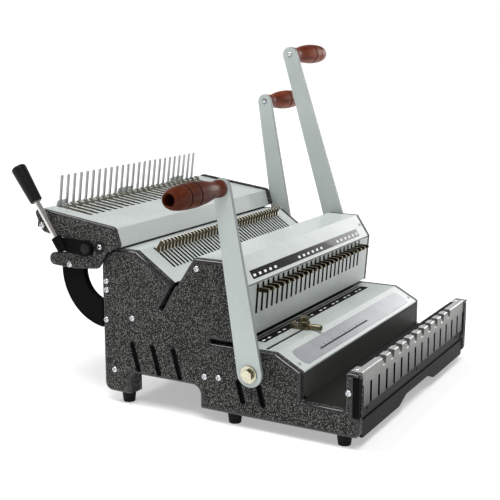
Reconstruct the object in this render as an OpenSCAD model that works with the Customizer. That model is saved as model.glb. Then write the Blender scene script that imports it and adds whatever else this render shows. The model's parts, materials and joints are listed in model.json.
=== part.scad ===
// Bench binding machine: two lever punches, a wire closer and a comb opener on two side plates.
// X runs across the machine, the operator stands at -Y, Z = 0 is the table it stands on.
// Outlines are drawn from a datum at the bottom of the rear paper valley, then centred by frame_y.

/* [Body] */
// Width over the two side plates
body_w = 420; // [400:1:460]
// Thickness of a side plate
plate_t = 11; // [9:0.5:14]
// Height of the flat tops of the body
top_z = 214; // [208:1:220]
// Height of the front table
table_z = 106; // [103:0.5:110]
// Height of the underside of the side plates, on top of the feet
under_z = 16; // [12:0.5:18]
// Height of the arch between front base and rear legs
arch_z = 46; // [40:1:50]
// Depth from the rear valley to the back of the side plates
back_reach = 115; // [112:1:120]
// Gauge of the bent sheet covers
sheet_t = 1.6; // [1.2:0.1:2.2]
// Depth of the shallow grooves on the outside of the side plates
rib_depth = 2.5; // [1:0.5:4]

/* [Punch stations] */
// Pitch of the comb pins and of the comb fingers
comb_pitch = 14.2875; // [12:0.1:16]
// Pitch of the wire pins
wire_pitch = 8.4667; // [7:0.1:10]
// Distance from the rear valley to the front throat
face_y = 93; // [90:0.5:97]
// Height of the rear valley
valley_z = 173.5; // [170:0.5:177]
// Slope of the rear throat below the horizontal
station_tilt = 60; // [58:0.5:62]
// Forward lean of the slotted face plates
face_lean = 4.2; // [3:0.2:5]
// Height of the paper gap in a throat
throat_gap = 5; // [4.5:0.1:6]
// Depth of the open throat in the side plates
throat_depth = 41; // [38:0.5:44]
// Length of the slots in the face plates
slot_len = 40.5; // [36:0.5:42]
// Size of a comb punch pin across the machine
comb_pin_w = 8; // [5:0.5:9]
// Size of a wire punch pin across the machine
wire_pin_w = 4; // [3:0.2:5]
// Reach of a punch pull in front of its face plate
pull_reach = 17; // [12:0.5:20]

/* [Levers] */
// Length of the front punch lever between pivot and handle
long_lever_l = 328; // [300:1:350]
// Length of the rear punch lever and of the closer lever
short_lever_l = 232; // [210:1:250]
// Thickness of a lever
lever_t = 6; // [4:0.5:7]
// Width of a lever at its pivot
lever_foot_w = 35; // [30:0.5:40]
// Width of a lever at its handle
lever_top_w = 24; // [20:0.5:28]
// Length of a wooden handle
handle_l = 115; // [95:1:130]
// Largest diameter of a wooden handle
handle_d = 31; // [26:0.5:36]
// Diameter of the lever shafts
shaft_d = 18; // [15:0.5:20]
// Swing of a punch lever
punch_swing = 75; // [65:1:80]
// Swing of the closer lever
closer_swing = 80; // [70:1:84]
// Lean of the long lever behind the upright, at rest
long_lean = 17.5; // [14:0.5:20]
// Lean of the rear punch lever and of the closer lever
short_lean = 9.6; // [7:0.2:12]

/* [Closer] */
// Height of the trough floor
trough_z = 49.5; // [46:0.5:52]
// Height of the fixed closer bar's top
bar_top_z = 97; // [92:0.5:102]
// Depth of the trough, from the jaw to the closer bar
trough_d = 61; // [56:0.5:68]
// Pitch of the slots in the closer bar
bar_slot_pitch = 26.1; // [22:0.1:30]
// Pitch of the bevelled gaps in the top of the closer bar
bar_gap_pitch = 28.2; // [24:0.1:32]

/* [Comb opener] */
// Tilt of the comb opener's top
unit_tilt = 7.5; // [5:0.5:9]
// Length of the comb opener's top
unit_l = 130; // [126:1:136]
// Free length of a comb finger above the cover
finger_l = 45; // [36:1:52]
// Swing of the comb lever
comb_swing = 70; // [60:1:74]
// Lean of the comb lever's rod behind the upright, at rest
comb_lean = 34; // [28:1:38]
// Length of the comb lever's rod
comb_rod_l = 66; // [56:1:74]
// Length of the comb lever's grip
comb_grip_l = 55; // [45:1:62]

/* [Drawer and guide] */
// Height of the chip drawer's front
drawer_h = 23; // [20:0.5:26]
// Width of the finger notch in the drawer's front
notch_w = 80; // [60:1:110]
// Place of the edge guide, left of the middle
guide_x = 90; // [80:1:110]

/* [Hidden] */
$fn = 48;

// Clearances
run_gap = 0.05;
slide_gap = 0.2;
part_gap = 0.5;
yoke_play = 0.9;

// Side to side: plate faces, then yokes, cranks and the punch pattern inside them
half_w = body_w / 2;
in_x = half_w - plate_t;
yoke_gap = 3;
yoke_t = 7;
crank_t = 8;
yoke_x1 = in_x - yoke_gap;
yoke_x0 = yoke_x1 - yoke_t;
crank_x1 = yoke_x0 - part_gap;
crank_x0 = crank_x1 - crank_t;
pattern_margin = 8.5;
pattern_w = 2 * (crank_x0 - pattern_margin);
comb_n = floor(pattern_w / comb_pitch);
wire_n = floor(pattern_w / wire_pitch) + 1;
tongue = 3;
tongue_depth = tongue + part_gap;
blind_wall = 3;

// Levers outside the plates: an inner plane and an outer plane
lever_gap = 2.5;
lever_space = 1;
lever_in_x = half_w + lever_gap;
lever_out_x = lever_in_x + lever_t + lever_space;

// Punch station, in its own frame: y into the throat, z towards the punch
die_y0 = 3;
die_y1 = throat_depth + 3;
die_t = 10;
guide_t = 10;
guide_y1 = throat_depth - 1;
pin_y = 14;
comb_pin_d = 3;
wire_pin_d = 4;
stop_y = pin_y + 5;
beam_y0 = 7;
beam_y1 = 20;
beam_h = 13;
pull_h = 7;
comb_pull_t = 2.4;
wire_pull_t = 2;
comb_slot_w = comb_pull_t + 3.2;
wire_slot_w = wire_pull_t + 2.4;
front_slot_z = 34;
rear_slot_z = 29;
pull_drop = 4.5;
shaft_y = 43.5;
shaft_z = 44.5;
crank_r = 15;
crank_tip_r = 6;
crank_pin_d = 8;
crank_rest = punch_swing / 2;
punch_stroke = 2 * crank_r * sin(crank_rest);
crank_pin_z = shaft_z + crank_r * sin(crank_rest);
yoke_y1 = shaft_y - shaft_d / 2 - 1;
yoke_mouth_y = shaft_y - crank_r - crank_pin_d / 2 - 1;
yoke_lip = 5.5;
bush_wall = 3;
bush_d = shaft_d + 2 * bush_wall;
collar_d = shaft_d + 8;
stub_d = shaft_d - 4;
bolt_d = 8;
sink_l = 22;
bolt_depth = 18;
bolt_head_d = 15;
bolt_head_h = 5;
washer_d = 22;
washer_t = 2;

// Body outline
hump_front_y = 78;
hump_back_y = 29.5;
valley_lip = 2.5;
face_h = 76.5;
table_d = 53;
nose_d = 36;
nose_drop = 19.5;
post_d = 19.5;
pocket_x = 8;
pocket_y = 8.5;
pocket_z0 = 42;
pocket_z1 = 91;
leg_y0 = 72;
leg_t = 27;
arch_y0 = -37.5;
back_r = 28;
slope_angle = 90 - station_tilt + face_lean;
slope_top_y = (top_z - valley_z) / tan(slope_angle);
bend_y = -face_y - table_d;
nose_y = bend_y - nose_d;
nose_z = table_z - nose_drop;
bar_t = 15;
bar_inset = 2;
front_reach = trough_d + bar_t + bar_inset - nose_y;
post_y = -front_reach + post_d;
tie_points = [[back_reach - 48.4, arch_z + 77], [arch_y0 - 7.3, arch_z + 14]];
tie_d = 12;
chute_top = [leg_y0 - 60, arch_z + 66];
chute_lip = [12, 2];
strip_y = slope_top_y + 24;

// Pivots in the Y Z plane
front_pivot = [shaft_y - face_y, table_z + shaft_z];
rear_pivot = [
  shaft_y * cos(station_tilt) + shaft_z * sin(station_tilt),
  valley_z - shaft_y * sin(station_tilt) + shaft_z * cos(station_tilt)
];
closer_pivot = [bend_y + 27, table_z - 26];

// Closer mechanism
closer_crank_r = 15;
closer_pin_d = 7;
closer_rest = closer_swing / 2;
closer_stroke = 2 * closer_crank_r * sin(closer_rest);
closer_pin_y = closer_pivot[0] + closer_crank_r * sin(closer_rest);
jaw_y = nose_y;
jaw_t = 16;
jaw_r = 12;
jaw_z0 = trough_z + slide_gap;
jaw_z1 = nose_z - 4;
jaw_play = 1;
arm_z0 = jaw_z0 + 4;
arm_low_z = closer_pivot[1] - shaft_d / 2 - 1.5;
arm_high_z = closer_pivot[1] + shaft_d / 2 + part_gap;
arm_back_z = table_z - die_t - part_gap;
arm_top_z = table_z - sheet_t - part_gap;
web_y0 = closer_pivot[0] + shaft_d / 2 + part_gap + closer_stroke;
web_t = 8;
fork_y0 = closer_pin_y - closer_pin_d / 2 - jaw_play - 4;
fork_y1 = closer_pin_y + closer_pin_d / 2 + jaw_play + 4;
bar_y0 = -front_reach + bar_inset;
bar_y1 = bar_y0 + bar_t;
bar_z0 = 51;
rail_z0 = 36.5;
rail_inset = 2;
floor_t = 3;
floor_tuck = 32;
bar_slot_n = floor((2 * in_x - 4) / bar_slot_pitch) + 1;
bar_end_l = 20;
bar_plain = 36;
bar_web = 9.5;
bar_chamfer = 1;
bar_gap_n = floor(2 * (in_x - bar_end_l - bar_plain) / bar_gap_pitch);
bar_gap_h = 11;
bar_gap_top_w = 14;
bar_gap_foot_w = 8;
bar_slot_w = 6;
bar_slot_d = 7;
bar_slot_h = 28;

// Comb opener, in its own tilted frame: y along the top, z off it
unit_y = back_reach - 23.2;
unit_z = top_z + 26.7;
unit_t = 6;
unit_x = half_w;
unit_tie = [74, -59];
unit_tie_d = 10;
comb_shaft_y = 36;
comb_shaft_z = -33;
comb_shaft_at = [comb_shaft_y, comb_shaft_z];
comb_shaft_d = 14;
comb_bush_d = comb_shaft_d + 2 * bush_wall;
unit_blind = 2;
comb_crank_r = 22;
opener_pin_d = 7;
comb_rest = comb_swing / 2;
comb_stroke = 2 * comb_crank_r * sin(comb_rest);
opener_pin_y = comb_shaft_y + comb_crank_r * sin(comb_rest);
finger_y = unit_l - 9;
finger_t = 3;
finger_w = 3.6;
finger_bar_y = finger_y - 3;
finger_bar_z = -12;
finger_bar_h = 12;
finger_bar_d = 13;
carriage_y1 = finger_bar_y - 6.5;
carriage_d = 12;
carriage_z0 = -12;
carriage_z1 = -4;
comb_arm_top = -sheet_t - part_gap;
comb_arm_z0 = comb_shaft_z + comb_shaft_d / 2 + 9;
hook_w = 3.2;
hook_h = 6.5;
hook_post_d = 5;
hook_lip_t = 2.4;
hook_reach = 10;
hook_arm_lead = 4;
hook_arm_gap = 0.4;
unit_slot_w = 7;
cover_lip = [-10.3, -22.9];
cover_back_h = 8;
unit_slot_lead = 8;
unit_slot_y0 = carriage_y1 - carriage_d - comb_stroke - unit_slot_lead;
unit_slot_y1 = finger_y + finger_t + 1;
comb_arm_l = 41;
comb_arm_t = 6;
comb_arm_w = 16;
comb_hub_r = comb_arm_w / 2 + 2;
comb_arm_rise = unit_tilt - 3;
comb_rod_d = 8;
rod_boss_d = 14;
rod_socket = 20;
grip_sink = 12;
grip_foot_d = 17;
grip_corner = 4;
grip_top_d = 21;
arm_x = unit_x + unit_t + 1;
comb_pivot = [
  unit_y + comb_shaft_y * cos(unit_tilt) - comb_shaft_z * sin(unit_tilt),
  unit_z + comb_shaft_y * sin(unit_tilt) + comb_shaft_z * cos(unit_tilt)
];
rod_foot = [
  comb_pivot[0] + comb_arm_l * cos(comb_arm_rise),
  comb_pivot[1] + comb_arm_l * sin(comb_arm_rise)
];

// Curved brackets behind the body
bracket_y = back_reach - 10;
bracket_z = top_z - 34;
bracket_r0 = 40;
bracket_r1 = 76;
bracket_t = 10;
bracket_tab = 18;

// Drawer, guide and feet
drawer_play = 4;
drawer_wall = 1.5;
drawer_front_t = 4;
drawer_top_z = rail_z0 - 1;
drawer_x = in_x - drawer_play;
drawer_y1 = -44;
notch_h = 10.5;
notch_slope = 28;
notch_r = 10;
guide_slot_y = bend_y + 18;
guide_slot_w = 4.4;
guide_w = 14;
guide_front = -9;
guide_back = 17;
guide_t0 = 4;
fence_t = 2;
fence_h = 16;
nut_w = 12;
nut_t = 3;
key_l = 10;
pointer_d = 8;
pointer_l = 17;
knob_d = 16;
knob_h = 11;
knob_stem_d = 3;
foot_top_d = 20;
foot_foot_d = 16;
foot_x = in_x - 7;
foot_rows = [leg_y0 + 15, arch_y0 - 42.5, -front_reach + 26];

// Centring: the front of the plates and the back of the comb grip lie equally far from the origin
grip_r = grip_top_d / 2;
back_y = rod_foot[0] + (comb_rod_l + comb_grip_l - grip_corner) * sin(comb_lean)
  + (grip_r - grip_corner) * cos(comb_lean) + grip_corner;
frame_y = (front_reach - back_y) / 2;

// Outline of a polygon whose corners [x, y, r] are rounded by arcs
function unit_v(v) = v / norm(v);
function corner(a, b, c) =
  let (
    u = unit_v([a[0] - b[0], a[1] - b[1]]),
    w = unit_v([c[0] - b[0], c[1] - b[1]]),
    half = acos(max(-1, min(1, u * w))) / 2,
    mid = unit_v(u + w),
    centre = [b[0], b[1]] + mid * b[2] / sin(half),
    start = atan2(-mid[1], -mid[0]),
    turn = (u[0] * w[1] - u[1] * w[0]) > 0 ? -1 : 1,
    sweep = 90 - half,
    steps = max(3, ceil(sweep / 9))
  )
  [for (i = [-steps:steps]) let (t = start + turn * sweep * i / steps) centre + b[2] * [cos(t), sin(t)]];
function rounded(p) = [
  for (i = [0:len(p) - 1])
    let (b = p[i], a = p[(i + len(p) - 1) % len(p)], c = p[(i + 1) % len(p)])
    each (b[2] > 0 ? corner(a, b, c) : [[b[0], b[1]]])
];

// Profile of a sheet of gauge t bent along a path, with the metal on the path's right
function side_normal(a, b) = let (d = unit_v(b - a)) [d[1], -d[0]];
function mitre(p, i, t) =
  let (
    last = len(p) - 1,
    n0 = side_normal(p[max(i - 1, 0)], p[max(i, 1)]),
    n1 = side_normal(p[min(i, last - 1)], p[min(i + 1, last)])
  )
  p[i] + t * (n0 + n1) / (1 + n0 * n1);
function sheet(p, t) = concat(p, [for (i = [len(p) - 1:-1:0]) mitre(p, i, t)]);

// Shared shapes
module placed() { translate([0, frame_y, 0]) children(); }
module across(x0, x1) { translate([x0, 0, 0]) rotate([90, 0, 90]) linear_extrude(x1 - x0) children(); }
module both_sides() {
  children();
  mirror([1, 0, 0]) children();
}
module rod_x(x0, x1, at, d) {
  translate([x0, at[0], at[1]]) rotate([0, 90, 0]) cylinder(d = d, h = x1 - x0);
}
module front_station() { translate([0, -face_y, table_z]) children(); }
module rear_station() { translate([0, 0, valley_z]) rotate([-station_tilt, 0, 0]) children(); }
module front_station_2d() { translate([-face_y, table_z]) children(); }
module rear_station_2d() { translate([0, valley_z]) rotate(-station_tilt) children(); }
module unit_frame() { translate([0, unit_y, unit_z]) rotate([unit_tilt, 0, 0]) children(); }
module row(n, pitch) { for (i = [0:n - 1]) translate([(i - (n - 1) / 2) * pitch, 0, 0]) children(); }
module link_2d(l, r0, r1) {
  lean = asin((r0 - r1) / l);
  circle(r0);
  translate([0, l]) circle(r1);
  polygon([
    [-r0 * cos(lean), r0 * sin(lean)], [r0 * cos(lean), r0 * sin(lean)],
    [r1 * cos(lean), l + r1 * sin(lean)], [-r1 * cos(lean), l + r1 * sin(lean)]
  ]);
}

// Side plates
module plate_outline() {
  polygon(rounded([
    [-front_reach, under_z, 8], [-front_reach, bar_top_z, 6], [post_y, bar_top_z, 4], [post_y, trough_z, 3],
    [nose_y, trough_z, 3], [nose_y, nose_z, 3], [bend_y, table_z, 6], [-face_y, table_z, 0],
    [-face_y - face_h * sin(face_lean), table_z + face_h, 4], [-hump_front_y, top_z, 5],
    [-hump_back_y, top_z, 5], [-valley_lip, valley_z, 2], [0, valley_z, 0], [slope_top_y, top_z, 5],
    [back_reach, top_z, back_r], [back_reach, under_z, 12], [leg_y0, under_z, 3], [leg_y0, arch_z, 10],
    [arch_y0, arch_z, 12], [arch_y0, under_z, 3]
  ]));
}
module throat_2d() {
  r = throat_gap / 2;
  translate([-12, 0]) square([throat_depth - r + 12, throat_gap]);
  translate([throat_depth - r, r]) circle(r);
}
module beam_groove(slot_z) {
  z1 = beam_z(slot_z) + beam_h + part_gap;
  z0 = beam_z(slot_z) - punch_stroke - part_gap;
  translate([beam_y0 - slide_gap, z0]) square([beam_y1 - beam_y0 + 2 * slide_gap, z1 - z0]);
}
module rib(at, l) {
  r = 2.3;
  translate(at) rotate(-15) {
    translate([-r, -l / 2]) square([2 * r, l]);
    for (s = [-1, 1]) translate([0, s * l / 2]) circle(r);
  }
}
module ribs() {
  for (i = [0:2]) rib([leg_y0 - 9.5 - i * 32.5, arch_z + 24], 36);
  for (i = [0:1]) rib([bend_y + 48 - i * 29, under_z + 33], 25);
}
module plate_bores(through, blind) {
  for (p = through) rod_x(in_x - 1, half_w + 1, p, bush_d);
  for (p = blind) rod_x(in_x - 1, half_w - blind_wall, p, bush_d);
}
module side_plate(through, blind) {
  color([0.16, 0.17, 0.18])
    difference() {
      union() {
        across(in_x, half_w)
          difference() {
            plate_outline();
            front_station_2d() throat_2d();
            rear_station_2d() throat_2d();
          }
        across(half_w - leg_t, in_x)
          translate([leg_y0, under_z]) square([back_reach - 8 - leg_y0, arch_z - under_z]);
      }
      across(in_x - 1, in_x + tongue_depth) {
        front_station_2d() beam_groove(front_slot_z);
        rear_station_2d() beam_groove(rear_slot_z);
      }
      across(half_w - rib_depth, half_w + 1) ribs();
      across(half_w - pocket_x, half_w + 1)
        translate([-front_reach - 1, pocket_z0]) square([pocket_y + 1, pocket_z1 - pocket_z0]);
      plate_bores(through, blind);
    }
}
module right_side_plate() { side_plate([front_pivot, rear_pivot], [closer_pivot]); }
module left_side_plate() { mirror([1, 0, 0]) side_plate([closer_pivot], [front_pivot, rear_pivot]); }

// Fixed sheet metal between the plates
module pan(path) { across(-in_x, in_x) polygon(sheet(path, sheet_t)); }
module base_pan() {
  color([0.2, 0.2, 0.21])
    pan([
      [leg_y0, arch_z], [arch_y0, arch_z], [arch_y0, under_z], [bar_y0 + drawer_front_t + 2, under_z]
    ]);
}
module rear_panel() {
  color([0.24, 0.25, 0.26])
    pan([
      [strip_y + part_gap, top_z], [back_reach - 16, top_z],
      [back_reach, top_z - back_r], [back_reach, arch_z]
    ]);
}
module table_cover() {
  color([0.72, 0.75, 0.73])
    difference() {
      pan([
        [nose_y, nose_z - 2.5], [nose_y, nose_z], [bend_y, table_z], [die_y0 - face_y - slide_gap, table_z]
      ]);
      translate([-in_x + 3, guide_slot_y - guide_slot_w / 2, table_z - 5])
        cube([in_x - 3 - guide_x + 8, guide_slot_w, 10]);
    }
}
module hump_cover() {
  color([0.72, 0.75, 0.73])
    pan([
      [-face_y - face_h * sin(face_lean), table_z + face_h], [-hump_front_y, top_z], [-hump_back_y, top_z],
      [-valley_lip, valley_z]
    ]);
}
module slotted_face(length, n, pitch, slot_z, slot_w) {
  difference() {
    across(-in_x, in_x)
      translate([0, throat_gap + 1]) square([sheet_t, length - throat_gap - 1]);
    row(n, pitch) translate([-slot_w / 2, -1, slot_z]) cube([slot_w, sheet_t + 2, slot_len]);
  }
}
module front_face_plate() {
  color([0.72, 0.75, 0.73])
    front_station() rotate([face_lean, 0, 0])
      slotted_face(face_h / cos(face_lean) - sheet_t, comb_n, comb_pitch, front_slot_z, comb_slot_w);
}
module slope_plate() {
  slope_l = (top_z - valley_z) / sin(slope_angle);
  color([0.74, 0.77, 0.75]) {
    rear_station() rotate([face_lean, 0, 0])
      slotted_face(slope_l - sheet_t * tan(slope_angle / 2), wire_n, wire_pitch, rear_slot_z, wire_slot_w);
    across(-in_x, in_x)
      polygon([
        [slope_top_y, top_z], [strip_y, top_z], [strip_y, top_z - sheet_t],
        [slope_top_y + sheet_t * tan(slope_angle / 2), top_z - sheet_t],
        [slope_top_y - sheet_t * tan(slope_angle / 2) * cos(slope_angle),
         top_z - sheet_t * tan(slope_angle / 2) * sin(slope_angle)]
      ]);
  }
}
module tie_bars() {
  color([0.6, 0.61, 0.62])
    for (p = tie_points) rod_x(-in_x, in_x, p, tie_d);
}
module chip_chute() {
  color([0.6, 0.61, 0.62])
    pan([[arch_y0 + sheet_t, arch_z + sheet_t + 1], chute_top, chute_top + chute_lip]);
}

// Punch dies and stripper guides
function beam_z(slot_z) = slot_z + slot_len - pull_drop - pull_h - 3;
module pin_holes(n, pitch, w, d, z0, z1) {
  row(n, pitch)
    translate([-w / 2 - slide_gap, pin_y - d / 2 - slide_gap, z0])
      cube([w + 2 * slide_gap, d + 2 * slide_gap, z1 - z0]);
}
module die(n, pitch, w, d) {
  color([0.5, 0.51, 0.52])
    difference() {
      across(-in_x, in_x) translate([die_y0, -die_t]) square([die_y1 - die_y0, die_t]);
      pin_holes(n, pitch, w, d, -die_t - 1, 1);
    }
}
module guide(n, pitch, w, d) {
  color([0.55, 0.56, 0.57])
    difference() {
      across(-in_x, in_x)
        polygon([
          [die_y0, throat_gap], [stop_y, throat_gap], [stop_y, 0], [guide_y1, 0],
          [guide_y1, throat_gap + guide_t], [die_y0, throat_gap + guide_t]
        ]);
      pin_holes(n, pitch, w, d, throat_gap - 1, throat_gap + guide_t + 1);
    }
}
module front_die() { front_station() die(comb_n, comb_pitch, comb_pin_w, comb_pin_d); }
module front_guide() { front_station() guide(comb_n, comb_pitch, comb_pin_w, comb_pin_d); }
module rear_die() { rear_station() die(wire_n, wire_pitch, wire_pin_w, wire_pin_d); }
module rear_guide() { rear_station() guide(wire_n, wire_pitch, wire_pin_w, wire_pin_d); }

// Bushes, screws and feet
module bush(x0, x1, at) {
  difference() {
    rod_x(x0, x1, at, bush_d);
    rod_x(x0 - 1, x1 + 1, at, shaft_d + 2 * run_gap);
  }
}
module shaft_bushes() {
  color([0.68, 0.55, 0.3]) {
    for (p = [front_pivot, rear_pivot]) {
      bush(in_x, half_w, p);
      bush(-half_w + blind_wall, -in_x, p);
    }
    bush(-half_w, -in_x, closer_pivot);
    bush(in_x, half_w - blind_wall, closer_pivot);
  }
}
module screw_head(d) {
  rotate([0, 90, 0]) rotate_extrude()
    polygon([[0, 0], [d / 2, 0], [d / 2, d * 0.08], [d * 0.36, d * 0.18], [0, d * 0.22]]);
}
module frame_screws() {
  color([0.85, 0.86, 0.87])
    both_sides()
      for (p = concat(tie_points, [
        [back_reach - 7.5, top_z - 45], [back_reach - 7.5, top_z - 57], [back_reach - 6, top_z - 98],
        [back_reach - 17.7, arch_z + 1.4], [-hump_back_y - 5, top_z - 13],
        [arch_y0 - 28.5, arch_z + 16], [post_y - 5, bar_z0 + 21]
      ]))
        translate([half_w, p[0], p[1]]) screw_head(8);
}
module feet() {
  color([0.08, 0.08, 0.08])
    for (s = [-1, 1], y = foot_rows)
      translate([s * foot_x, y, 0]) cylinder(d1 = foot_foot_d, d2 = foot_top_d, h = under_z);
}

// Wire closer
module trough_floor() {
  color([0.12, 0.12, 0.13])
    across(-in_x, in_x)
      translate([bar_y1, trough_z - floor_t]) square([nose_y + floor_tuck - bar_y1, floor_t]);
}
module closer_rail() {
  color([0.14, 0.14, 0.15]) {
    across(-in_x, in_x)
      translate([bar_y0 + rail_inset, rail_z0]) square([bar_t - rail_inset, bar_z0 - rail_z0]);
    across(-in_x + bar_end_l, in_x - bar_end_l)
      translate([bar_y0 + bar_web, rail_z0]) square([bar_t - bar_web, bar_top_z - rail_z0]);
  }
}
module bar_gap() {
  foot_z = bar_top_z - bar_gap_h;
  intersection() {
    across(-bar_gap_top_w, bar_gap_top_w)
      polygon([
        [bar_y0 - 1, foot_z - 1], [bar_y0 + bar_gap_h + 1, bar_top_z + 1], [bar_y0 - 1, bar_top_z + 1]
      ]);
    translate([0, bar_y1, 0]) rotate([90, 0, 0])
      linear_extrude(bar_t + 2)
        polygon([
          [-bar_gap_foot_w / 2, foot_z - 2], [bar_gap_foot_w / 2, foot_z - 2],
          [bar_gap_top_w / 2, bar_top_z + 2], [-bar_gap_top_w / 2, bar_top_z + 2]
        ]);
  }
}
module closer_bar() {
  color([0.72, 0.73, 0.73])
    difference() {
      across(-in_x, in_x)
        polygon([
          [bar_y0, bar_z0], [bar_y0, bar_top_z - bar_chamfer], [bar_y0 + bar_chamfer, bar_top_z],
          [bar_y1, bar_top_z], [bar_y1, bar_z0]
        ]);
      across(-in_x + bar_end_l, in_x - bar_end_l)
        translate([bar_y0 + bar_web, bar_z0 - 1]) square([bar_t, bar_top_z - bar_z0 + 2]);
      row(bar_slot_n, bar_slot_pitch)
        translate([-bar_slot_w / 2, bar_y0 - 1, bar_z0 - 1])
          cube([bar_slot_w, bar_slot_d + 1, bar_slot_h + 1]);
      row(bar_gap_n, bar_gap_pitch) bar_gap();
    }
}
module closer_jaw() {
  jaw_x = in_x - part_gap;
  color([0.13, 0.13, 0.14]) {
    translate([0, jaw_y + jaw_t, 0]) rotate([90, 0, 0])
      linear_extrude(jaw_t)
        polygon(rounded([
          [-jaw_x, jaw_z0, jaw_r], [jaw_x, jaw_z0, jaw_r], [jaw_x, jaw_z1, 1], [-jaw_x, jaw_z1, 1]
        ]));
    both_sides()
      across(yoke_x0, yoke_x1)
        difference() {
          polygon([
            [jaw_y + jaw_t, arm_z0], [web_y0 + web_t, arm_z0], [web_y0 + web_t, arm_back_z],
            [fork_y1, arm_back_z], [fork_y1, arm_top_z], [fork_y0, arm_top_z], [fork_y0, arm_high_z],
            [web_y0, arm_high_z], [web_y0, arm_low_z], [jaw_y + jaw_t, arm_low_z]
          ]);
          translate([closer_pin_y - closer_pin_d / 2 - jaw_play, arm_high_z - 1])
            square([
              closer_pin_d + 2 * jaw_play,
              closer_pivot[1] + closer_crank_r + closer_pin_d / 2 + part_gap - arm_high_z + 1
            ]);
        }
  }
}

// Shafts, levers and handles
module crank_pair(r, angle, tip_r, pin_d) {
  both_sides() rotate([angle, 0, 0]) {
    across(crank_x0, crank_x1) link_2d(r, shaft_d / 2 + 3, tip_r);
    rod_x(crank_x1 - 1, yoke_x1 - part_gap, [0, r], pin_d);
  }
}
module lever_shaft(lever_x) {
  difference() {
    union() {
      rod_x(-half_w + blind_wall + part_gap, half_w + part_gap, [0, 0], shaft_d);
      rod_x(half_w + part_gap, lever_x, [0, 0], collar_d);
      rod_x(lever_x, lever_x + lever_t, [0, 0], stub_d);
    }
    rod_x(lever_x + lever_t - bolt_depth, lever_x + lever_t + 1, [0, 0], bolt_d);
  }
}
module at_pivot(p) { translate([0, p[0], p[1]]) children(); }
module punch_shaft(tilt, lever_x) {
  color([0.62, 0.63, 0.65]) {
    lever_shaft(lever_x);
    rotate([-tilt, 0, 0]) crank_pair(crank_r, 90 - crank_rest, crank_tip_r, crank_pin_d);
  }
}
module lever_arm(l, lean, lever_x) {
  color([0.66, 0.7, 0.68])
    rotate([-lean, 0, 0])
      across(lever_x, lever_x + lever_t)
        difference() {
          link_2d(l, lever_foot_w / 2, lever_top_w / 2);
          circle(d = stub_d);
          translate([0, l]) circle(d = bolt_d);
        }
}
module pivot_bolt(lever_x) {
  x = lever_x + lever_t;
  color([0.78, 0.68, 0.38]) {
    rod_x(x - bolt_depth, x + washer_t, [0, 0], bolt_d);
    difference() {
      rod_x(x, x + washer_t, [0, 0], washer_d);
      rod_x(x - 1, x + washer_t + 1, [0, 0], bolt_d);
    }
    translate([x + washer_t, 0, 0]) rotate([0, 90, 0]) cylinder(d = bolt_head_d, h = bolt_head_h, $fn = 6);
  }
}

// Turned handle: collar, neck, swelling barrel with two grooves, round end with a counterbore
function barrel_r(t) = handle_d * (0.34 + 0.16 * sin(18 + 90 * t));
module handle_wood(l, lean, lever_x) {
  collar_l = 9;
  neck_l = 8;
  barrel_l = handle_l - collar_l - neck_l;
  neck_r = handle_d * 0.29;
  end_r = 12;
  groove = 0.9;
  sink_d = bolt_d + 7;
  color([0.4, 0.16, 0.09])
    rotate([-lean, 0, 0]) translate([lever_x + lever_t, 0, l]) rotate([0, 90, 0])
      difference() {
        rotate_extrude()
          polygon(concat(
            [[0, 0], [neck_r, 0]],
            [for (a = [0:30:180]) [neck_r + 3.2 * sin(a), collar_l * (1 - cos(a)) / 2]],
            [[neck_r - 0.8, collar_l + neck_l / 2], [neck_r, collar_l + neck_l]],
            [for (i = [1:9])
              let (r = barrel_r(i / 10), z = collar_l + neck_l + (barrel_l - end_r) * i / 10)
              each (i == 5 || i == 7 ? [[r, z - groove], [r - groove, z], [r, z + groove]] : [[r, z]])],
            [for (a = [0:15:75]) [barrel_r(1) - end_r * (1 - cos(a)), handle_l - end_r * (1 - sin(a))]],
            [[barrel_r(1) - end_r, handle_l], [0, handle_l]]
          ));
        translate([0, 0, -1]) cylinder(d = bolt_d, h = handle_l + 2);
        translate([0, 0, handle_l - sink_l]) cylinder(d = sink_d, h = sink_l + 1);
      }
}
module handle_bolt(l, lean, lever_x) {
  head_d = bolt_d + 5;
  head_h = 5;
  color([0.75, 0.76, 0.78])
    rotate([-lean, 0, 0]) translate([lever_x, 0, l]) rotate([0, 90, 0]) {
      cylinder(d = bolt_d, h = lever_t + handle_l - sink_l);
      translate([0, 0, lever_t + handle_l - sink_l]) cylinder(d = head_d, h = head_h);
    }
}
module front_shaft() { at_pivot(front_pivot) punch_shaft(0, lever_in_x); }
module front_lever() { at_pivot(front_pivot) lever_arm(long_lever_l, long_lean, lever_in_x); }
module front_pivot_bolt() { at_pivot(front_pivot) pivot_bolt(lever_in_x); }
module front_handle() { at_pivot(front_pivot) handle_wood(long_lever_l, long_lean, lever_in_x); }
module front_handle_bolt() { at_pivot(front_pivot) handle_bolt(long_lever_l, long_lean, lever_in_x); }
module rear_shaft() { at_pivot(rear_pivot) punch_shaft(station_tilt, lever_out_x); }
module rear_lever() { at_pivot(rear_pivot) lever_arm(short_lever_l, short_lean, lever_out_x); }
module rear_pivot_bolt() { at_pivot(rear_pivot) pivot_bolt(lever_out_x); }
module rear_handle() { at_pivot(rear_pivot) handle_wood(short_lever_l, short_lean, lever_out_x); }
module rear_handle_bolt() { at_pivot(rear_pivot) handle_bolt(short_lever_l, short_lean, lever_out_x); }
module on_left() { at_pivot(closer_pivot) mirror([1, 0, 0]) children(); }
module closer_shaft() {
  color([0.62, 0.63, 0.65])
    on_left() {
      lever_shaft(lever_out_x);
      crank_pair(closer_crank_r, -closer_rest, closer_pin_d / 2 + 2.5, closer_pin_d);
    }
}
module closer_lever() { on_left() lever_arm(short_lever_l, short_lean, lever_out_x); }
module closer_pivot_bolt() { on_left() pivot_bolt(lever_out_x); }
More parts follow.
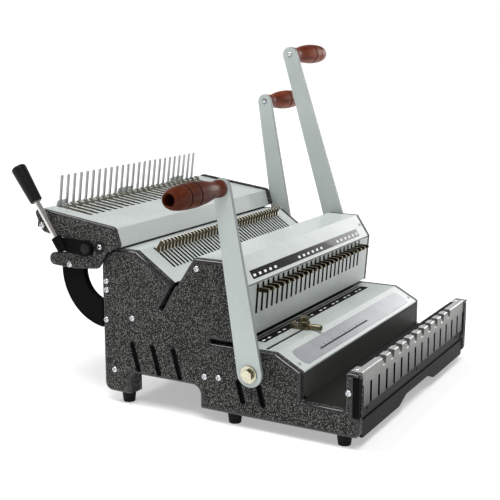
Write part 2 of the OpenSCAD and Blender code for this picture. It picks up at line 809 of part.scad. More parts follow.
module closer_handle() { on_left() handle_wood(short_lever_l, short_lean, lever_out_x); }
module closer_handle_bolt() { on_left() handle_bolt(short_lever_l, short_lean, lever_out_x); }

// Punch bars with their pins and pulls
module punch_bar(slot_z) {
  z0 = beam_z(slot_z);
  mouth = crank_pin_d / 2 + yoke_play / 2;
  color([0.45, 0.46, 0.48]) {
    across(-in_x - tongue, in_x + tongue) translate([beam_y0, z0]) square([beam_y1 - beam_y0, beam_h]);
    both_sides()
      across(yoke_x0, yoke_x1)
        difference() {
          translate([beam_y1 - 3, crank_pin_z - mouth - yoke_lip])
            square([yoke_y1 - beam_y1 + 3, z0 + beam_h - crank_pin_z + mouth + yoke_lip]);
          translate([yoke_mouth_y, crank_pin_z - mouth]) square([yoke_y1 - yoke_mouth_y + 1, 2 * mouth]);
        }
  }
}
module pins(slot_z, n, pitch, w, d) {
  tip = throat_gap + slide_gap;
  color([0.7, 0.71, 0.73])
    row(n, pitch) translate([-w / 2, pin_y - d / 2, tip]) cube([w, d, beam_z(slot_z) - tip]);
}
module pulls(slot_z, n, pitch, t) {
  z0 = beam_z(slot_z) + 3;
  tip = -pull_reach - (z0 + pull_h / 2) * tan(face_lean);
  color([0.62, 0.52, 0.33])
    row(n, pitch)
      across(-t / 2, t / 2)
        polygon(rounded([
          [beam_y0, z0, 0], [beam_y0, z0 + pull_h, 0], [tip, z0 + pull_h, 3], [tip, z0, 1.5]
        ]));
}
module front_punch_bar() { front_station() punch_bar(front_slot_z); }
module front_pins() { front_station() pins(front_slot_z, comb_n, comb_pitch, comb_pin_w, comb_pin_d); }
module front_pulls() { front_station() pulls(front_slot_z, comb_n, comb_pitch, comb_pull_t); }
module rear_punch_bar() { rear_station() punch_bar(rear_slot_z); }
module rear_pins() { rear_station() pins(rear_slot_z, wire_n, wire_pitch, wire_pin_w, wire_pin_d); }
module rear_pulls() { rear_station() pulls(rear_slot_z, wire_n, wire_pitch, wire_pull_t); }

// Comb opener
// Its plates have two ears at the back, with the notch for the comb arm between them
module unit_outline() {
  polygon(rounded([
    [-4, 3.5, 8], [-15, -20, 4], [4, -31, 3], [18, -58, 6], [56, -66.5, 0],
    [98, -70, 8], [100, -54, 8], [66, -45, 6], [46, -33, 4], [66, -28, 5],
    [unit_l - 15, -28, 12], [unit_l + 1, -2, 6], [unit_l - 6, 3.5, 5]
  ]));
}
module unit_plate(bored) {
  color([0.16, 0.17, 0.18])
    unit_frame()
      difference() {
        across(unit_x, unit_x + unit_t) unit_outline();
        rod_x(unit_x - 1, unit_x + unit_t + (bored ? 1 : -unit_blind), comb_shaft_at, comb_bush_d);
        across(unit_x - 1, unit_x + tongue_depth)
          translate([carriage_y1 - carriage_d - comb_stroke - part_gap, carriage_z0 - slide_gap])
            square([carriage_d + comb_stroke + 2 * part_gap, carriage_z1 - carriage_z0 + 2 * slide_gap]);
      }
}
module unit_left_plate() { mirror([1, 0, 0]) unit_plate(true); }
module unit_right_plate() { unit_plate(false); }
module unit_cover() {
  color([0.74, 0.77, 0.75])
    unit_frame()
      difference() {
        across(-unit_x, unit_x)
          polygon(sheet([cover_lip, [0, 0], [unit_l, 0], [unit_l, -cover_back_h]], sheet_t));
        row(comb_n + 1, comb_pitch)
          translate([-unit_slot_w / 2, unit_slot_y0, -sheet_t - 1])
            cube([unit_slot_w, unit_slot_y1 - unit_slot_y0, sheet_t + 2]);
      }
}
module tie_rod(x) { unit_frame() rod_x(-x, x, unit_tie, unit_tie_d); }
module unit_tie_bar() { color([0.6, 0.61, 0.62]) tie_rod(unit_x); }
module finger_bar() {
  color([0.5, 0.51, 0.52])
    unit_frame()
      across(-unit_x, unit_x)
        translate([finger_bar_y - 3, finger_bar_z - finger_bar_h]) square([finger_bar_d, finger_bar_h]);
}
module comb_fingers() {
  color([0.75, 0.76, 0.77])
    unit_frame()
      row(comb_n + 1, comb_pitch)
        translate([0, finger_y + finger_t, 0]) rotate([90, 0, 0])
          linear_extrude(finger_t)
            polygon(rounded([
              [-finger_w / 2, finger_bar_z, 0], [finger_w / 2, finger_bar_z, 0],
              [finger_w / 2, finger_l, 1.4], [-finger_w / 2, finger_l, 1.4]
            ]));
}
module support_brackets() {
  color([0.1, 0.1, 0.11])
    difference() {
      both_sides()
        across(half_w - bracket_t, half_w)
          translate([bracket_y, bracket_z]) {
            intersection() {
              difference() {
                circle(bracket_r1);
                circle(bracket_r0);
              }
              translate([back_reach - bracket_y, -bracket_r1 - 1]) square(bracket_r1 + 1);
            }
            translate([bracket_r0, 0]) square([bracket_r1 - bracket_r0, bracket_tab]);
          }
      tie_rod(half_w + 1);
    }
}
module comb_bushes() {
  color([0.68, 0.55, 0.3])
    unit_frame()
      for (x = [[-unit_x - unit_t, -unit_x], [unit_x, unit_x + unit_t - unit_blind]])
        difference() {
          rod_x(x[0], x[1], comb_shaft_at, comb_bush_d);
          rod_x(x[0] - 1, x[1] + 1, comb_shaft_at, comb_shaft_d + 2 * run_gap);
        }
}
module comb_shaft() {
  color([0.62, 0.63, 0.65])
    unit_frame() {
      rod_x(-arm_x - comb_arm_t, unit_x + unit_t - unit_blind - part_gap, comb_shaft_at, comb_shaft_d);
      at_pivot(comb_shaft_at) both_sides() rotate([-comb_rest, 0, 0]) {
        across(crank_x0, crank_x1) link_2d(comb_crank_r, comb_shaft_d / 2 + 3, opener_pin_d / 2 + 2);
        rod_x(crank_x1 - 1, yoke_x1, [0, comb_crank_r], opener_pin_d);
      }
    }
}
module comb_arm() {
  color([0.1, 0.1, 0.11])
    difference() {
      union() {
        translate([0, comb_pivot[0], comb_pivot[1]]) rotate([comb_arm_rise - 90, 0, 0])
          across(-arm_x - comb_arm_t, -arm_x)
            difference() {
              link_2d(comb_arm_l, comb_hub_r, comb_arm_w / 2);
              circle(d = comb_shaft_d);
            }
        on_rod() translate([0, 0, -rod_socket / 2]) cylinder(d = rod_boss_d, h = rod_socket);
      }
      on_rod() translate([0, 0, -rod_socket / 2 + 3]) cylinder(d = comb_rod_d, h = rod_socket);
    }
}
module on_rod() {
  translate([-arm_x - rod_boss_d / 2, rod_foot[0], rod_foot[1]]) rotate([-comb_lean, 0, 0]) children();
}
module comb_rod() {
  foot = 3 - rod_socket / 2;
  color([0.82, 0.83, 0.85])
    on_rod() translate([0, 0, foot]) cylinder(d = comb_rod_d, h = comb_rod_l - foot + grip_sink);
}
module comb_grip() {
  color([0.06, 0.06, 0.06])
    on_rod() translate([0, 0, comb_rod_l])
      difference() {
        rotate_extrude()
          polygon(concat(
            [[0, 0], [grip_foot_d / 2 - 1.5, 0], [grip_foot_d / 2, 1.5]],
            [
              for (a = [0:15:90])
                [grip_r - grip_corner * (1 - cos(a)), comb_grip_l - grip_corner * (1 - sin(a))]
            ],
            [[0, comb_grip_l]]
          ));
        translate([0, 0, -1]) cylinder(d = comb_rod_d, h = grip_sink + 1);
      }
}
module comb_carriage() {
  notch_z = comb_shaft_z + comb_crank_r + opener_pin_d / 2 + part_gap;
  half_notch = opener_pin_d / 2 + jaw_play;
  color([0.45, 0.46, 0.48])
    unit_frame() {
      across(-unit_x - tongue, unit_x + tongue)
        translate([carriage_y1 - carriage_d, carriage_z0]) square([carriage_d, carriage_z1 - carriage_z0]);
      both_sides()
        across(yoke_x0, yoke_x1)
          difference() {
            translate([opener_pin_y - half_notch - 4, comb_arm_z0])
              square([carriage_y1 - opener_pin_y + half_notch + 4, comb_arm_top - comb_arm_z0]);
            translate([opener_pin_y - half_notch, comb_arm_z0 - 1])
              square([2 * half_notch, notch_z - comb_arm_z0 + 1]);
          }
    }
}
module comb_hooks() {
  y0 = carriage_y1 - hook_post_d;
  y1 = y0 + hook_post_d;
  tip_y = y0 + hook_reach;
  arm_z = -sheet_t - hook_arm_gap;
  color([0.55, 0.54, 0.5])
    unit_frame()
      row(comb_n + 1, comb_pitch)
        across(-hook_w / 2, hook_w / 2)
          polygon([
            [unit_slot_y0 - hook_arm_lead, carriage_z1], [unit_slot_y0 - hook_arm_lead, arm_z], [y0, arm_z],
            [y0, hook_h - 3], [y0 + 1, hook_h - 1], [y0 + 3, hook_h], [tip_y - 1, hook_h],
            [tip_y, hook_h - hook_lip_t / 2], [tip_y - 1, hook_h - hook_lip_t], [y1 + 2, hook_h - hook_lip_t],
            [y1, hook_h - hook_lip_t - 2], [y1, carriage_z1]
          ]);
}

// Edge guide on the table
module edge_guide() {
  color([0.6, 0.5, 0.3])
    translate([-guide_x, guide_slot_y, table_z])
      difference() {
        union() {
          translate([-guide_w / 2, guide_front, slide_gap])
            cube([guide_w, guide_back - guide_front, guide_t0]);
          translate([-guide_w / 2, guide_back - fence_t, slide_gap]) cube([guide_w, fence_t, fence_h]);
          translate([-key_l / 2, -guide_slot_w / 2 + slide_gap, -sheet_t - slide_gap])
            cube([key_l, guide_slot_w - 2 * slide_gap, sheet_t + 2 * slide_gap]);
          translate([-nut_w / 2, -nut_w / 2, -sheet_t - slide_gap - nut_t]) cube([nut_w, nut_w, nut_t]);
          translate([0, guide_front + slide_gap, slide_gap + pointer_d / 2]) rotate([90, 0, 0])
            cylinder(d = pointer_d, h = pointer_l);
        }
        translate([0, 0, -sheet_t - 6]) cylinder(d = knob_stem_d + 2 * run_gap, h = 30);
      }
}
module guide_knob() {
  color([0.66, 0.55, 0.32])
    translate([-guide_x, guide_slot_y, table_z]) {
      translate([0, 0, -sheet_t - 2]) cylinder(d = knob_stem_d, h = sheet_t + 3 + guide_t0);
      translate([0, 0, slide_gap + guide_t0 + 0.1]) cylinder(d = knob_d, h = knob_h);
    }
}

// Chip drawer
module drawer_tray() {
  z0 = under_z + sheet_t + slide_gap;
  y0 = bar_y0 + drawer_front_t;
  color([0.55, 0.56, 0.57])
    difference() {
      translate([-drawer_x, y0, z0]) cube([2 * drawer_x, drawer_y1 - y0, drawer_top_z - z0]);
      translate([-drawer_x + drawer_wall, y0 + drawer_wall, z0 + drawer_wall])
        cube([2 * (drawer_x - drawer_wall), drawer_y1 - y0 - 2 * drawer_wall, drawer_top_z]);
    }
}
module drawer_front() {
  z0 = drawer_top_z - drawer_h;
  color([0.13, 0.13, 0.14])
    translate([0, bar_y0 + drawer_front_t, 0]) rotate([90, 0, 0])
      linear_extrude(drawer_front_t)
        polygon(rounded([
          [-drawer_x, z0, 3], [-notch_w / 2 - notch_slope, z0, notch_r],
          [-notch_w / 2, z0 + notch_h, notch_r], [notch_w / 2, z0 + notch_h, notch_r],
          [notch_w / 2 + notch_slope, z0, notch_r], [drawer_x, z0, 3],
          [drawer_x, drawer_top_z, 1], [-drawer_x, drawer_top_z, 1]
        ]));
}

placed() left_side_plate();
placed() right_side_plate();
placed() base_pan();
placed() rear_panel();
placed() tie_bars();
placed() chip_chute();
placed() table_cover();
placed() front_face_plate();
placed() hump_cover();
placed() slope_plate();
placed() front_die();
placed() front_guide();
placed() rear_die();
placed() rear_guide();
placed() shaft_bushes();
placed() frame_screws();
placed() feet();
placed() trough_floor();
placed() closer_rail();
placed() closer_bar();
placed() unit_left_plate();
placed() unit_right_plate();
placed() unit_cover();
placed() unit_tie_bar();
placed() finger_bar();
placed() comb_fingers();
placed() support_brackets();
placed() comb_bushes();
placed() front_shaft();
placed() front_lever();
placed() front_pivot_bolt();
placed() front_handle();
placed() front_handle_bolt();
placed() front_punch_bar();
placed() front_pins();
placed() front_pulls();
placed() rear_shaft();
placed() rear_lever();
placed() rear_pivot_bolt();
placed() rear_handle();
placed() rear_handle_bolt();
placed() rear_punch_bar();
placed() rear_pins();
placed() rear_pulls();
placed() closer_shaft();
placed() closer_lever();
placed() closer_pivot_bolt();
placed() closer_handle();
placed() closer_handle_bolt();
placed() closer_jaw();
placed() comb_shaft();
placed() comb_arm();
placed() comb_rod();
placed() comb_grip();
placed() comb_carriage();
placed() comb_hooks();
placed() edge_guide();
placed() guide_knob();
placed() drawer_tray();
placed() drawer_front();
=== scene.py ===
"""Studio scene of the binding machine: finishes, fine fittings, floor, light and camera. Units are metres."""
import json
import math

import bmesh
import bpy
from mathutils import Matrix, Vector


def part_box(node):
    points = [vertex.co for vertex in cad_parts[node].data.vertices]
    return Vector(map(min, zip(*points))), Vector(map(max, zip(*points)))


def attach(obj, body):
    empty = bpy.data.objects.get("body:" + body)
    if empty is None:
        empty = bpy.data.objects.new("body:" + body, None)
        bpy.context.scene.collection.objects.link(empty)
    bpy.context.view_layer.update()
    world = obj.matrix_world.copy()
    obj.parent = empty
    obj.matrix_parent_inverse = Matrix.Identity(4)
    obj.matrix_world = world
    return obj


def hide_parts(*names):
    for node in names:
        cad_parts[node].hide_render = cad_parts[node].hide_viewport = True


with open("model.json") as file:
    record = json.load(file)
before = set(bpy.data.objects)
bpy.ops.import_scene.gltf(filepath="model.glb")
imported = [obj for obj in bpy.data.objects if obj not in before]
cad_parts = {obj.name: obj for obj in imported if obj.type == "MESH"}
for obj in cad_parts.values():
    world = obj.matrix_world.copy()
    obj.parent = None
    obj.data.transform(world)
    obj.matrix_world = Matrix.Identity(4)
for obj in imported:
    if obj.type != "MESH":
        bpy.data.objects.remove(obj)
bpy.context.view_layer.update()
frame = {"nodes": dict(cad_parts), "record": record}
nodes = frame["nodes"]
MM = 0.001
X, Y, Z = Vector((1, 0, 0)), Vector((0, 1, 0)), Vector((0, 0, 1))

# Camera, as fitted to the photographed edges
LENS = 72.64
SENSOR = 36.0
AZIMUTH, ELEVATION = math.radians(-61.02), math.radians(11.43)
TARGET = Vector((0.06753, 0.048, 0.16887))
DISTANCE = 1.55312

# Lights: overhead ones are (direction, spread in degrees, power), panels are (place, size, power)
OVERHEAD = {"overhead_front": ((-0.33, -0.2, 0.92), 28, 2.55),
            "overhead_back": ((-0.15, 0.5, 0.85), 28, 1.9)}
PANELS = {"right": ((2.3, -0.55, 0.68), 0.7, 7),
          "right_high": ((2.3, -0.26, 1.0), 0.45, 2.2)}

# Surround: the wall ends and the ceiling begins at (height, tone); 0 is level and 1 straight up
WALL, CEILING = (0.1, 1.0), (0.3, 0.3)
FLOOR_TONE, FLOOR_GLOW, FLOOR_REACH = 0.55, 0.4, 30

# Sizes that the frame's boxes don't give; a slope is its run along Y and its rise
HUMP_SLOPE = (20.6 * MM, 31.5 * MM)
NOSE_SLOPE = (36 * MM, 19.5 * MM)
COMB_PITCH = 14.2875 * MM
PIN_COUNT = 24
UNIT_TILT, UNIT_L, UNIT_FLANGE = math.radians(7.5), 130 * MM, 8 * MM
FINGER_BACK = 124 * MM
BAR_WEB = 9.5 * MM
REAR_TILT = math.radians(60)
VALLEY = Vector((0, 6.25635 * MM, 173.5 * MM))
POCKET = {"x": 8 * MM, "y": 8.5 * MM, "z": (42 * MM, 91 * MM)}
STRIP_T, STRIP_EDGE, PRINT_T = 0.3 * MM, 0.1 * MM, 0.1 * MM

# What counts as one corner, as one flat face and as a sharp edge
WELD = 0.000002
FLAT_ANGLE, BEVEL_ANGLE, SHARP_ANGLE = math.radians(0.5), math.radians(40), math.radians(38)

# Places on the machine
hump_lo, hump_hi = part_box("hump_cover")
table_lo, table_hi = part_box("table_cover")
plate_lo, plate_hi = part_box("right_side_plate")
half_w = plate_hi.x
inside_x = table_hi.x
hump_foot = Vector((0, hump_lo.y, hump_hi.z - HUMP_SLOPE[1]))
hump_up = Vector((0, *HUMP_SLOPE))
nose_foot = Vector((0, table_lo.y, table_hi.z - NOSE_SLOPE[1]))
nose_up = Vector((0, *NOSE_SLOPE))
unit_along = Vector((0, math.cos(UNIT_TILT), math.sin(UNIT_TILT)))
unit_up = X.cross(unit_along)
unit_back = Vector((0, *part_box("unit_cover")[1].yz)) - Y * UNIT_FLANGE * math.sin(UNIT_TILT)
unit_origin = unit_back - unit_along * UNIT_L


# Material graphs
class Graph:
    """A material's node tree with its principled shader."""

    def __init__(self, name, **values):
        self.mat = bpy.data.materials.new(name)
        self.mat.use_nodes = True
        self.tree = self.mat.node_tree
        self.bsdf = self.tree.nodes["Principled BSDF"]
        for socket, value in values.items():
            self.bsdf.inputs[socket.replace("_", " ")].default_value = value

    def node(self, kind, **sockets):
        made = self.tree.nodes.new("ShaderNode" + kind)
        for name, value in sockets.items():
            self.feed(made.inputs[name.replace("_", " ")], value)
        return made

    def feed(self, socket, value):
        if isinstance(value, bpy.types.NodeSocket):
            self.tree.links.new(value, socket)
        else:
            socket.default_value = value

    def place(self, stretch=(1, 1, 1), turn=(0, 0, 0)):
        coord = self.tree.nodes.new("ShaderNodeTexCoord")
        return self.node("Mapping", Vector=coord.outputs["Object"], Scale=stretch, Rotation=turn).outputs[0]

    def noise(self, scale, detail=3.0, rough=0.5, stretch=(1, 1, 1)):
        made = self.node("TexNoise", Vector=self.place(stretch), Scale=scale, Detail=detail, Roughness=rough)
        return made.outputs["Fac"]

    def cells(self, scale, output="Distance"):
        """Cells that are turned, so that no flat face of the machine runs along their grid."""
        return self.node("TexVoronoi", Vector=self.place(turn=(0.5, 0.7, 0.3)), Scale=scale).outputs[output]

    def calculate(self, operation, a, b=0.0):
        made = self.tree.nodes.new("ShaderNodeMath")
        made.operation = operation
        self.feed(made.inputs[0], a)
        self.feed(made.inputs[1], b)
        return made.outputs[0]

    def looks(self, axis, least):
        """1 on faces that look along an axis, either way, by at least so much, and 0 elsewhere."""
        normal = self.tree.nodes.new("ShaderNodeNewGeometry").outputs["True Normal"]
        along = self.node("SeparateXYZ", Vector=normal).outputs[axis]
        return self.calculate("GREATER_THAN", self.calculate("ABSOLUTE", along), least)

    def height(self, low, high):
        """0 below the low level of the machine, 1 above the high one."""
        level = self.node("SeparateXYZ", Vector=self.place()).outputs["Z"]
        return self.node("MapRange", Value=level, From_Min=low, From_Max=high).outputs[0]

    def ramp(self, fac, *stops):
        """Colours or grey tones at stops along a factor."""
        made = self.node("ValToRGB", Fac=fac)
        points = made.color_ramp.elements
        while len(points) < len(stops):
            points.new(0.5)
        for point, (at, colour) in zip(points, stops):
            point.position = at
            point.color = (*colour, 1) if hasattr(colour, "__len__") else (colour, colour, colour, 1)
        return made.outputs["Color"]

    def mix(self, fac, a, b):
        made = self.tree.nodes.new("ShaderNodeMix")
        made.data_type = "RGBA"
        for index, value in ((0, fac), (6, a), (7, b)):
            self.feed(made.inputs[index], value if not isinstance(value, tuple) else (*value, 1))
        return made.outputs[2]

    def by_side(self, colour, side_shade, edge):
        """Puts a painted shade on faces that look sideways, and another painted shade on all other faces,
        where given.
        """
        if side_shade:
            colour = self.mix(self.looks("X", 0.75), colour, side_shade)
        if edge:
            colour = self.mix(self.looks("X", 0.5), edge, colour)
        return colour

    def bump(self, height, strength, distance):
        made = self.node("Bump", Height=height, Strength=strength, Distance=distance)
        self.feed(self.bsdf.inputs["Normal"], made.outputs["Normal"])

    def drive(self, **sockets):
        for name, value in sockets.items():
            self.feed(self.bsdf.inputs[name.replace("_", " ")], value)
        return self.mat


def hammertone(name, coat, flecks):
    """Dark paint with pale hammered flecks; on rims it is glossier, and its flecks are darkened as a painted
    dark reflection.
    """
    g = Graph(name, Specular_IOR_Level=0.06, Coat_Weight=coat, Coat_Roughness=0.06)
    scale, ground = 790, (0.01, 0.01, 0.01)
    cells = g.cells(scale)
    tone = g.node("SeparateColor", Color=g.cells(scale, "Color")).outputs[0]
    fleck = g.ramp(tone, (0.2, ground), (0.5, (0.075, 0.075, 0.07)), (0.9, (flecks, flecks, 0.94 * flecks)))
    island = g.ramp(cells, (0.2, 1.0), (0.65, 0.0))
    g.bump(island, 0.5, 0.0004)
    return g.drive(Base_Color=g.mix(island, ground, fleck), Roughness=g.ramp(cells, (0.2, 0.25), (0.6, 0.4)))


def paint(name, dark, light, rough, grain=900, side_shade=None, edge=None):
    """Satin paint with a fine orange peel; it can take a painted shade on the walls of its slots, and another
    on the edges of a bar.
    """
    g = Graph(name, Coat_Weight=0.15, Coat_Roughness=0.25)
    peel = g.noise(grain, 2)
    colour = g.ramp(g.noise(14, 4, 0.6), (0.3, dark), (0.7, light))
    g.bump(peel, 0.12, 0.0002)
    return g.drive(Base_Color=g.by_side(colour, side_shade, edge),
                   Roughness=g.ramp(peel, (0.3, rough - 0.06), (0.7, rough + 0.06)))


def metal(name, dark, light, rough, scale=260, stretch=(1, 1, 1), side_shade=None, edge=None, metallic=1.0):
    """Drawn or cast metal; it can take a painted shade on faces that look sideways, and another on all other
    faces.
    """
    g = Graph(name, Metallic=metallic)
    lines = g.noise(scale, 4, 0.6, stretch)
    colour = g.ramp(lines, (0.3, dark), (0.7, light))
    g.bump(lines, 0.15, 0.0001)
    return g.drive(Base_Color=g.by_side(colour, side_shade, edge),
                   Roughness=g.ramp(lines, (0.25, rough - 0.08), (0.75, rough + 0.08)))


def cast_bar():
    """Cast light metal of the closer bar, with painted light: a painted highlight on its tops, and painted
    shade darkening its feet and the walls of its lower slots.
    """
    g = Graph("cast_bar", Metallic=1.0)
    streaks = g.noise(260, 5, 0.65, (1, 1, 0.12))
    face = g.ramp(streaks, (0.3, (0.15, 0.15, 0.145)), (0.7, (0.26, 0.26, 0.255)))
    # Painted shade: the faces darken towards the feet of the bar.
    face = g.mix(g.height(0.046, 0.088), (0.022, 0.021, 0.02), face)
    # Painted shade: walls of the lower slots are near black, walls of the upper gaps mid grey.
    wall = g.mix(g.height(0.0795, 0.0805), (0.012, 0.012, 0.012), (0.16, 0.155, 0.15))
    colour = g.mix(g.looks("X", 0.6), face, wall)
    g.bump(streaks, 0.3, 0.0002)
    # Painted highlight: faces that look up are near white.
    return g.drive(Base_Color=g.mix(g.looks("Z", 0.6), colour, (0.8, 0.8, 0.79)),
                   Roughness=g.ramp(streaks, (0.3, 0.34), (0.7, 0.48)))


def rail_paint():
    """Dark paint with a black upper side, where it lies in the shade of the bar."""
    g = Graph("rail_paint", Specular_IOR_Level=0.06)
    fine = g.noise(700, 3)
    face = g.ramp(fine, (0.35, (0.012, 0.012, 0.011)), (0.65, (0.022, 0.021, 0.02)))
    g.bump(fine, 0.25, 0.0002)
    return g.drive(Base_Color=g.mix(g.looks("Z", 0.6), face, (0.002, 0.002, 0.002)),
                   Roughness=g.ramp(fine, (0.3, 0.4), (0.7, 0.52)))


def lacquered_wood(name, tone):
    """Stained and lacquered wood with fine pores along X; tone scales the stain, so that one copy is paler as
    painted light and another darker as painted shade.
    """
    g = Graph(name, Specular_IOR_Level=0.05, Coat_Weight=0.05, Coat_Roughness=0.16)
    rings = g.noise(90, 6, 0.65, (0.12, 1, 1))
    pores = g.noise(700, 2, 0.5, (0.05, 1, 1))
    stain = ((0.3, (0.05, 0.008, 0.003)), (0.5, (0.105, 0.022, 0.0085)), (0.7, (0.165, 0.042, 0.018)))
    body = g.ramp(rings, *((at, tuple(tone * c for c in colour)) for at, colour in stain))
    g.bump(pores, 0.12, 0.0002)
    return g.drive(Base_Color=g.mix(g.ramp(pores, (0.3, 0.0), (0.45, 1.0)), (0.035, 0.006, 0.003), body),
                   Roughness=g.ramp(rings, (0.3, 0.42), (0.7, 0.3)))


def plain(name, colour, rough, grain, depth, **values):
    """One colour with a fine grain in its tone, its gloss and its surface."""
    g = Graph(name, **values)
    fine = g.noise(grain, 3)
    darker = tuple(c * 0.7 for c in colour)
    g.bump(fine, 0.25, depth)
    return g.drive(Base_Color=g.ramp(fine, (0.35, darker), (0.65, colour)),
                   Roughness=g.ramp(fine, (0.3, rough - 0.06), (0.7, rough + 0.06)))


# Finishes: one for each material slot of the record, and others for single nodes and fittings
COVER_TONES = ((0.405, 0.44, 0.425), (0.455, 0.49, 0.475))
FINISH = {
    "hammertone": hammertone("hammertone", 0.06, 0.29),
    "cover_paint": paint("cover_paint", *COVER_TONES, 0.3),
    # The edge colour of the lever paint is painted shade on the levers' narrow edges.
    "lever_paint": paint("lever_paint", (0.36, 0.405, 0.39), (0.43, 0.475, 0.455), 0.4, 700,
                         edge=(0.17, 0.19, 0.185)),
    "dark_paint": plain("dark_paint", (0.018, 0.018, 0.017), 0.4, 800, 0.0001, Specular_IOR_Level=0.07),
    "steel": metal("steel", (0.3, 0.3, 0.31), (0.5, 0.5, 0.51), 0.38, 300, (0.1, 1, 1)),
    "zinc": metal("zinc", (0.5, 0.52, 0.54), (0.66, 0.68, 0.7), 0.28),
    # The edge colour of the yellow zinc is painted shade on the sides of the bolt heads.
    "yellow_zinc": metal("yellow_zinc", (0.5, 0.47, 0.34), (0.74, 0.71, 0.56), 0.3, edge=(0.11, 0.1, 0.06)),
    "brass": metal("brass", (0.15, 0.13, 0.085), (0.24, 0.21, 0.14), 0.32, 60),
    "aluminium": cast_bar(),
    # The wood's tone of 1.4 is painted light: a paler copy for the lit front and rear handles.
    "wood": lacquered_wood("wood", 1.4),
    "black_grip": plain("black_grip", (0.008, 0.008, 0.009), 0.32, 900, 0.0002, Specular_IOR_Level=0.15),
    "chrome": metal("chrome", (0.6, 0.58, 0.55), (0.74, 0.72, 0.7), 0.14),
    "rubber": plain("rubber", (0.008, 0.008, 0.008), 0.6, 600, 0.0002, Specular_IOR_Level=0.1)}
# Rim copy of the hammertone: glossier, with its flecks darkened as a painted dark reflection.
RIM = hammertone("hammertone_rim", 0.7, 0.02)
# Deep black: the own colour of black parts and print, and painted shade in plate grooves, hole rims and
# pockets.
DEEP = plain("deep_black", (0.005, 0.005, 0.005), 0.6, 700, 0.0001, Specular_IOR_Level=0.03)
DRAWER = plain("drawer_paint", (0.008, 0.008, 0.008), 0.45, 800, 0.0001, Specular_IOR_Level=0.05)
JAW = plain("jaw_paint", (0.075, 0.075, 0.07), 0.5, 420, 0.0003, Specular_IOR_Level=0.1)
RAIL = rail_paint()
# Slot walls of the slotted covers are near black as painted shade.
SLOTTED = paint("slotted_paint", *COVER_TONES, 0.3, side_shade=(0.006, 0.006, 0.006))
# A darker copy of the wood, as painted shade on the closer handle.
SHADED_WOOD = lacquered_wood("wood_painted_shade", 0.6)
BURNT = plain("burnt_line", (0.012, 0.004, 0.002), 0.5, 700, 0.0001, Specular_IOR_Level=0.05)
# The sides of the pull bars are darker as painted shade.
PULL = metal("pull_bronze", (0.15, 0.125, 0.08), (0.28, 0.24, 0.16), 0.28, 60, side_shade=(0.05, 0.039, 0.02))
# The fins' edges are near white as a painted highlight, and their sides dark brown as painted shade.
FIN = metal("fin_brass", (0.78, 0.73, 0.6), (0.92, 0.88, 0.76), 0.32, 60, side_shade=(0.075, 0.055, 0.027),
            metallic=0.45)
KNURL = metal("knurled_brass", (0.09, 0.078, 0.05), (0.2, 0.175, 0.11), 0.3, 120)
# Near-black steel for parts inside the machine and for bolts in holes: painted shade of the interior.
SHADED_STEEL = metal("steel_painted_shade", (0.012, 0.012, 0.012), (0.035, 0.034, 0.032), 0.42, 300, (0.1, 1, 1))
HOOK = metal("hook_steel", (0.2, 0.19, 0.155), (0.36, 0.345, 0.29), 0.34, 300)
FINGER = metal("finger_steel", (0.32, 0.325, 0.33), (0.44, 0.445, 0.45), 0.4, 300, (1, 1, 0.1))
TAB = plain("tab_plastic", (0.74, 0.8, 0.8), 0.25, 500, 0.00005)
INK = plain("ink", (0.004, 0.004, 0.005), 0.16, 900, 0.00002, Specular_IOR_Level=0.14, Coat_Weight=0.22)
MARK = plain("mark", (0.85, 0.87, 0.87), 0.5, 900, 0.00005)
LABEL = paint("label", (0.2, 0.21, 0.225), (0.27, 0.28, 0.3), 0.22)
SPECIAL = {
    SLOTTED: ("front_face_plate", "slope_plate", "unit_cover"),
    # Inner parts, the drawer tray and the handle bolts take the near-black steel as painted shade.
    SHADED_STEEL: ("front_die", "rear_die", "front_guide", "rear_guide", "front_punch_bar", "rear_punch_bar",
            "front_pins", "rear_pins", "front_shaft", "rear_shaft", "comb_shaft", "comb_carriage", "tie_bars",
            "chip_chute", "finger_bar", "drawer_tray", "closer_handle_bolt", "front_handle_bolt",
            "rear_handle_bolt"),
    DEEP: ("support_brackets", "comb_arm"),
    DRAWER: ("drawer_front",),
    JAW: ("closer_jaw",),
    RAIL: ("closer_rail",),
    HOOK: ("comb_hooks",),
    FINGER: ("comb_fingers",)}


def finish_nodes():
    """Gives every CAD node the finish of its material slot, or its special one."""
    finish = {part["node"]: FINISH[part["material_slot"]] for part in frame["record"]["subparts"]}
    for material, names in SPECIAL.items():
        finish.update({name: material for name in names})
    for name, material in finish.items():
        nodes[name].data.materials.clear()
        nodes[name].data.materials.append(material)


def soften(width, *names):
    """Rounds the sharp edges of CAD nodes with modifiers, which leave their meshes as they are."""
    for name in names:
        node = nodes[name]
        weld = node.modifiers.new("join_corners", "WELD")
        weld.merge_threshold = WELD
        flat = node.modifiers.new("join_faces", "DECIMATE")
        flat.decimate_type = "DISSOLVE"
        flat.angle_limit = FLAT_ANGLE
        bevel = node.modifiers.new("round_edges", "BEVEL")
        bevel.width = width
        bevel.segments = 2
        bevel.limit_method = "ANGLE"
        bevel.angle_limit = BEVEL_ANGLE
        bevel.use_clamp_overlap = True
        bevel.harden_normals = True


# Mesh helpers
def add_piece(name, bm, material, body):
    """Makes an object of a mesh, which rides on a body and takes the given material."""
    mesh = bpy.data.meshes.new(name)
    bmesh.ops.recalc_face_normals(bm, faces=bm.faces)
    bm.to_mesh(mesh)
    bm.free()
    mesh.shade_smooth()
    mesh.set_sharp_from_angle(angle=SHARP_ANGLE)
    mesh.materials.append(material)
    piece = bpy.data.objects.new(name, mesh)
    piece.modifiers.new("even_normals", "WEIGHTED_NORMAL").keep_sharp = True
    bpy.context.scene.collection.objects.link(piece)
    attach(piece, body)
    return piece


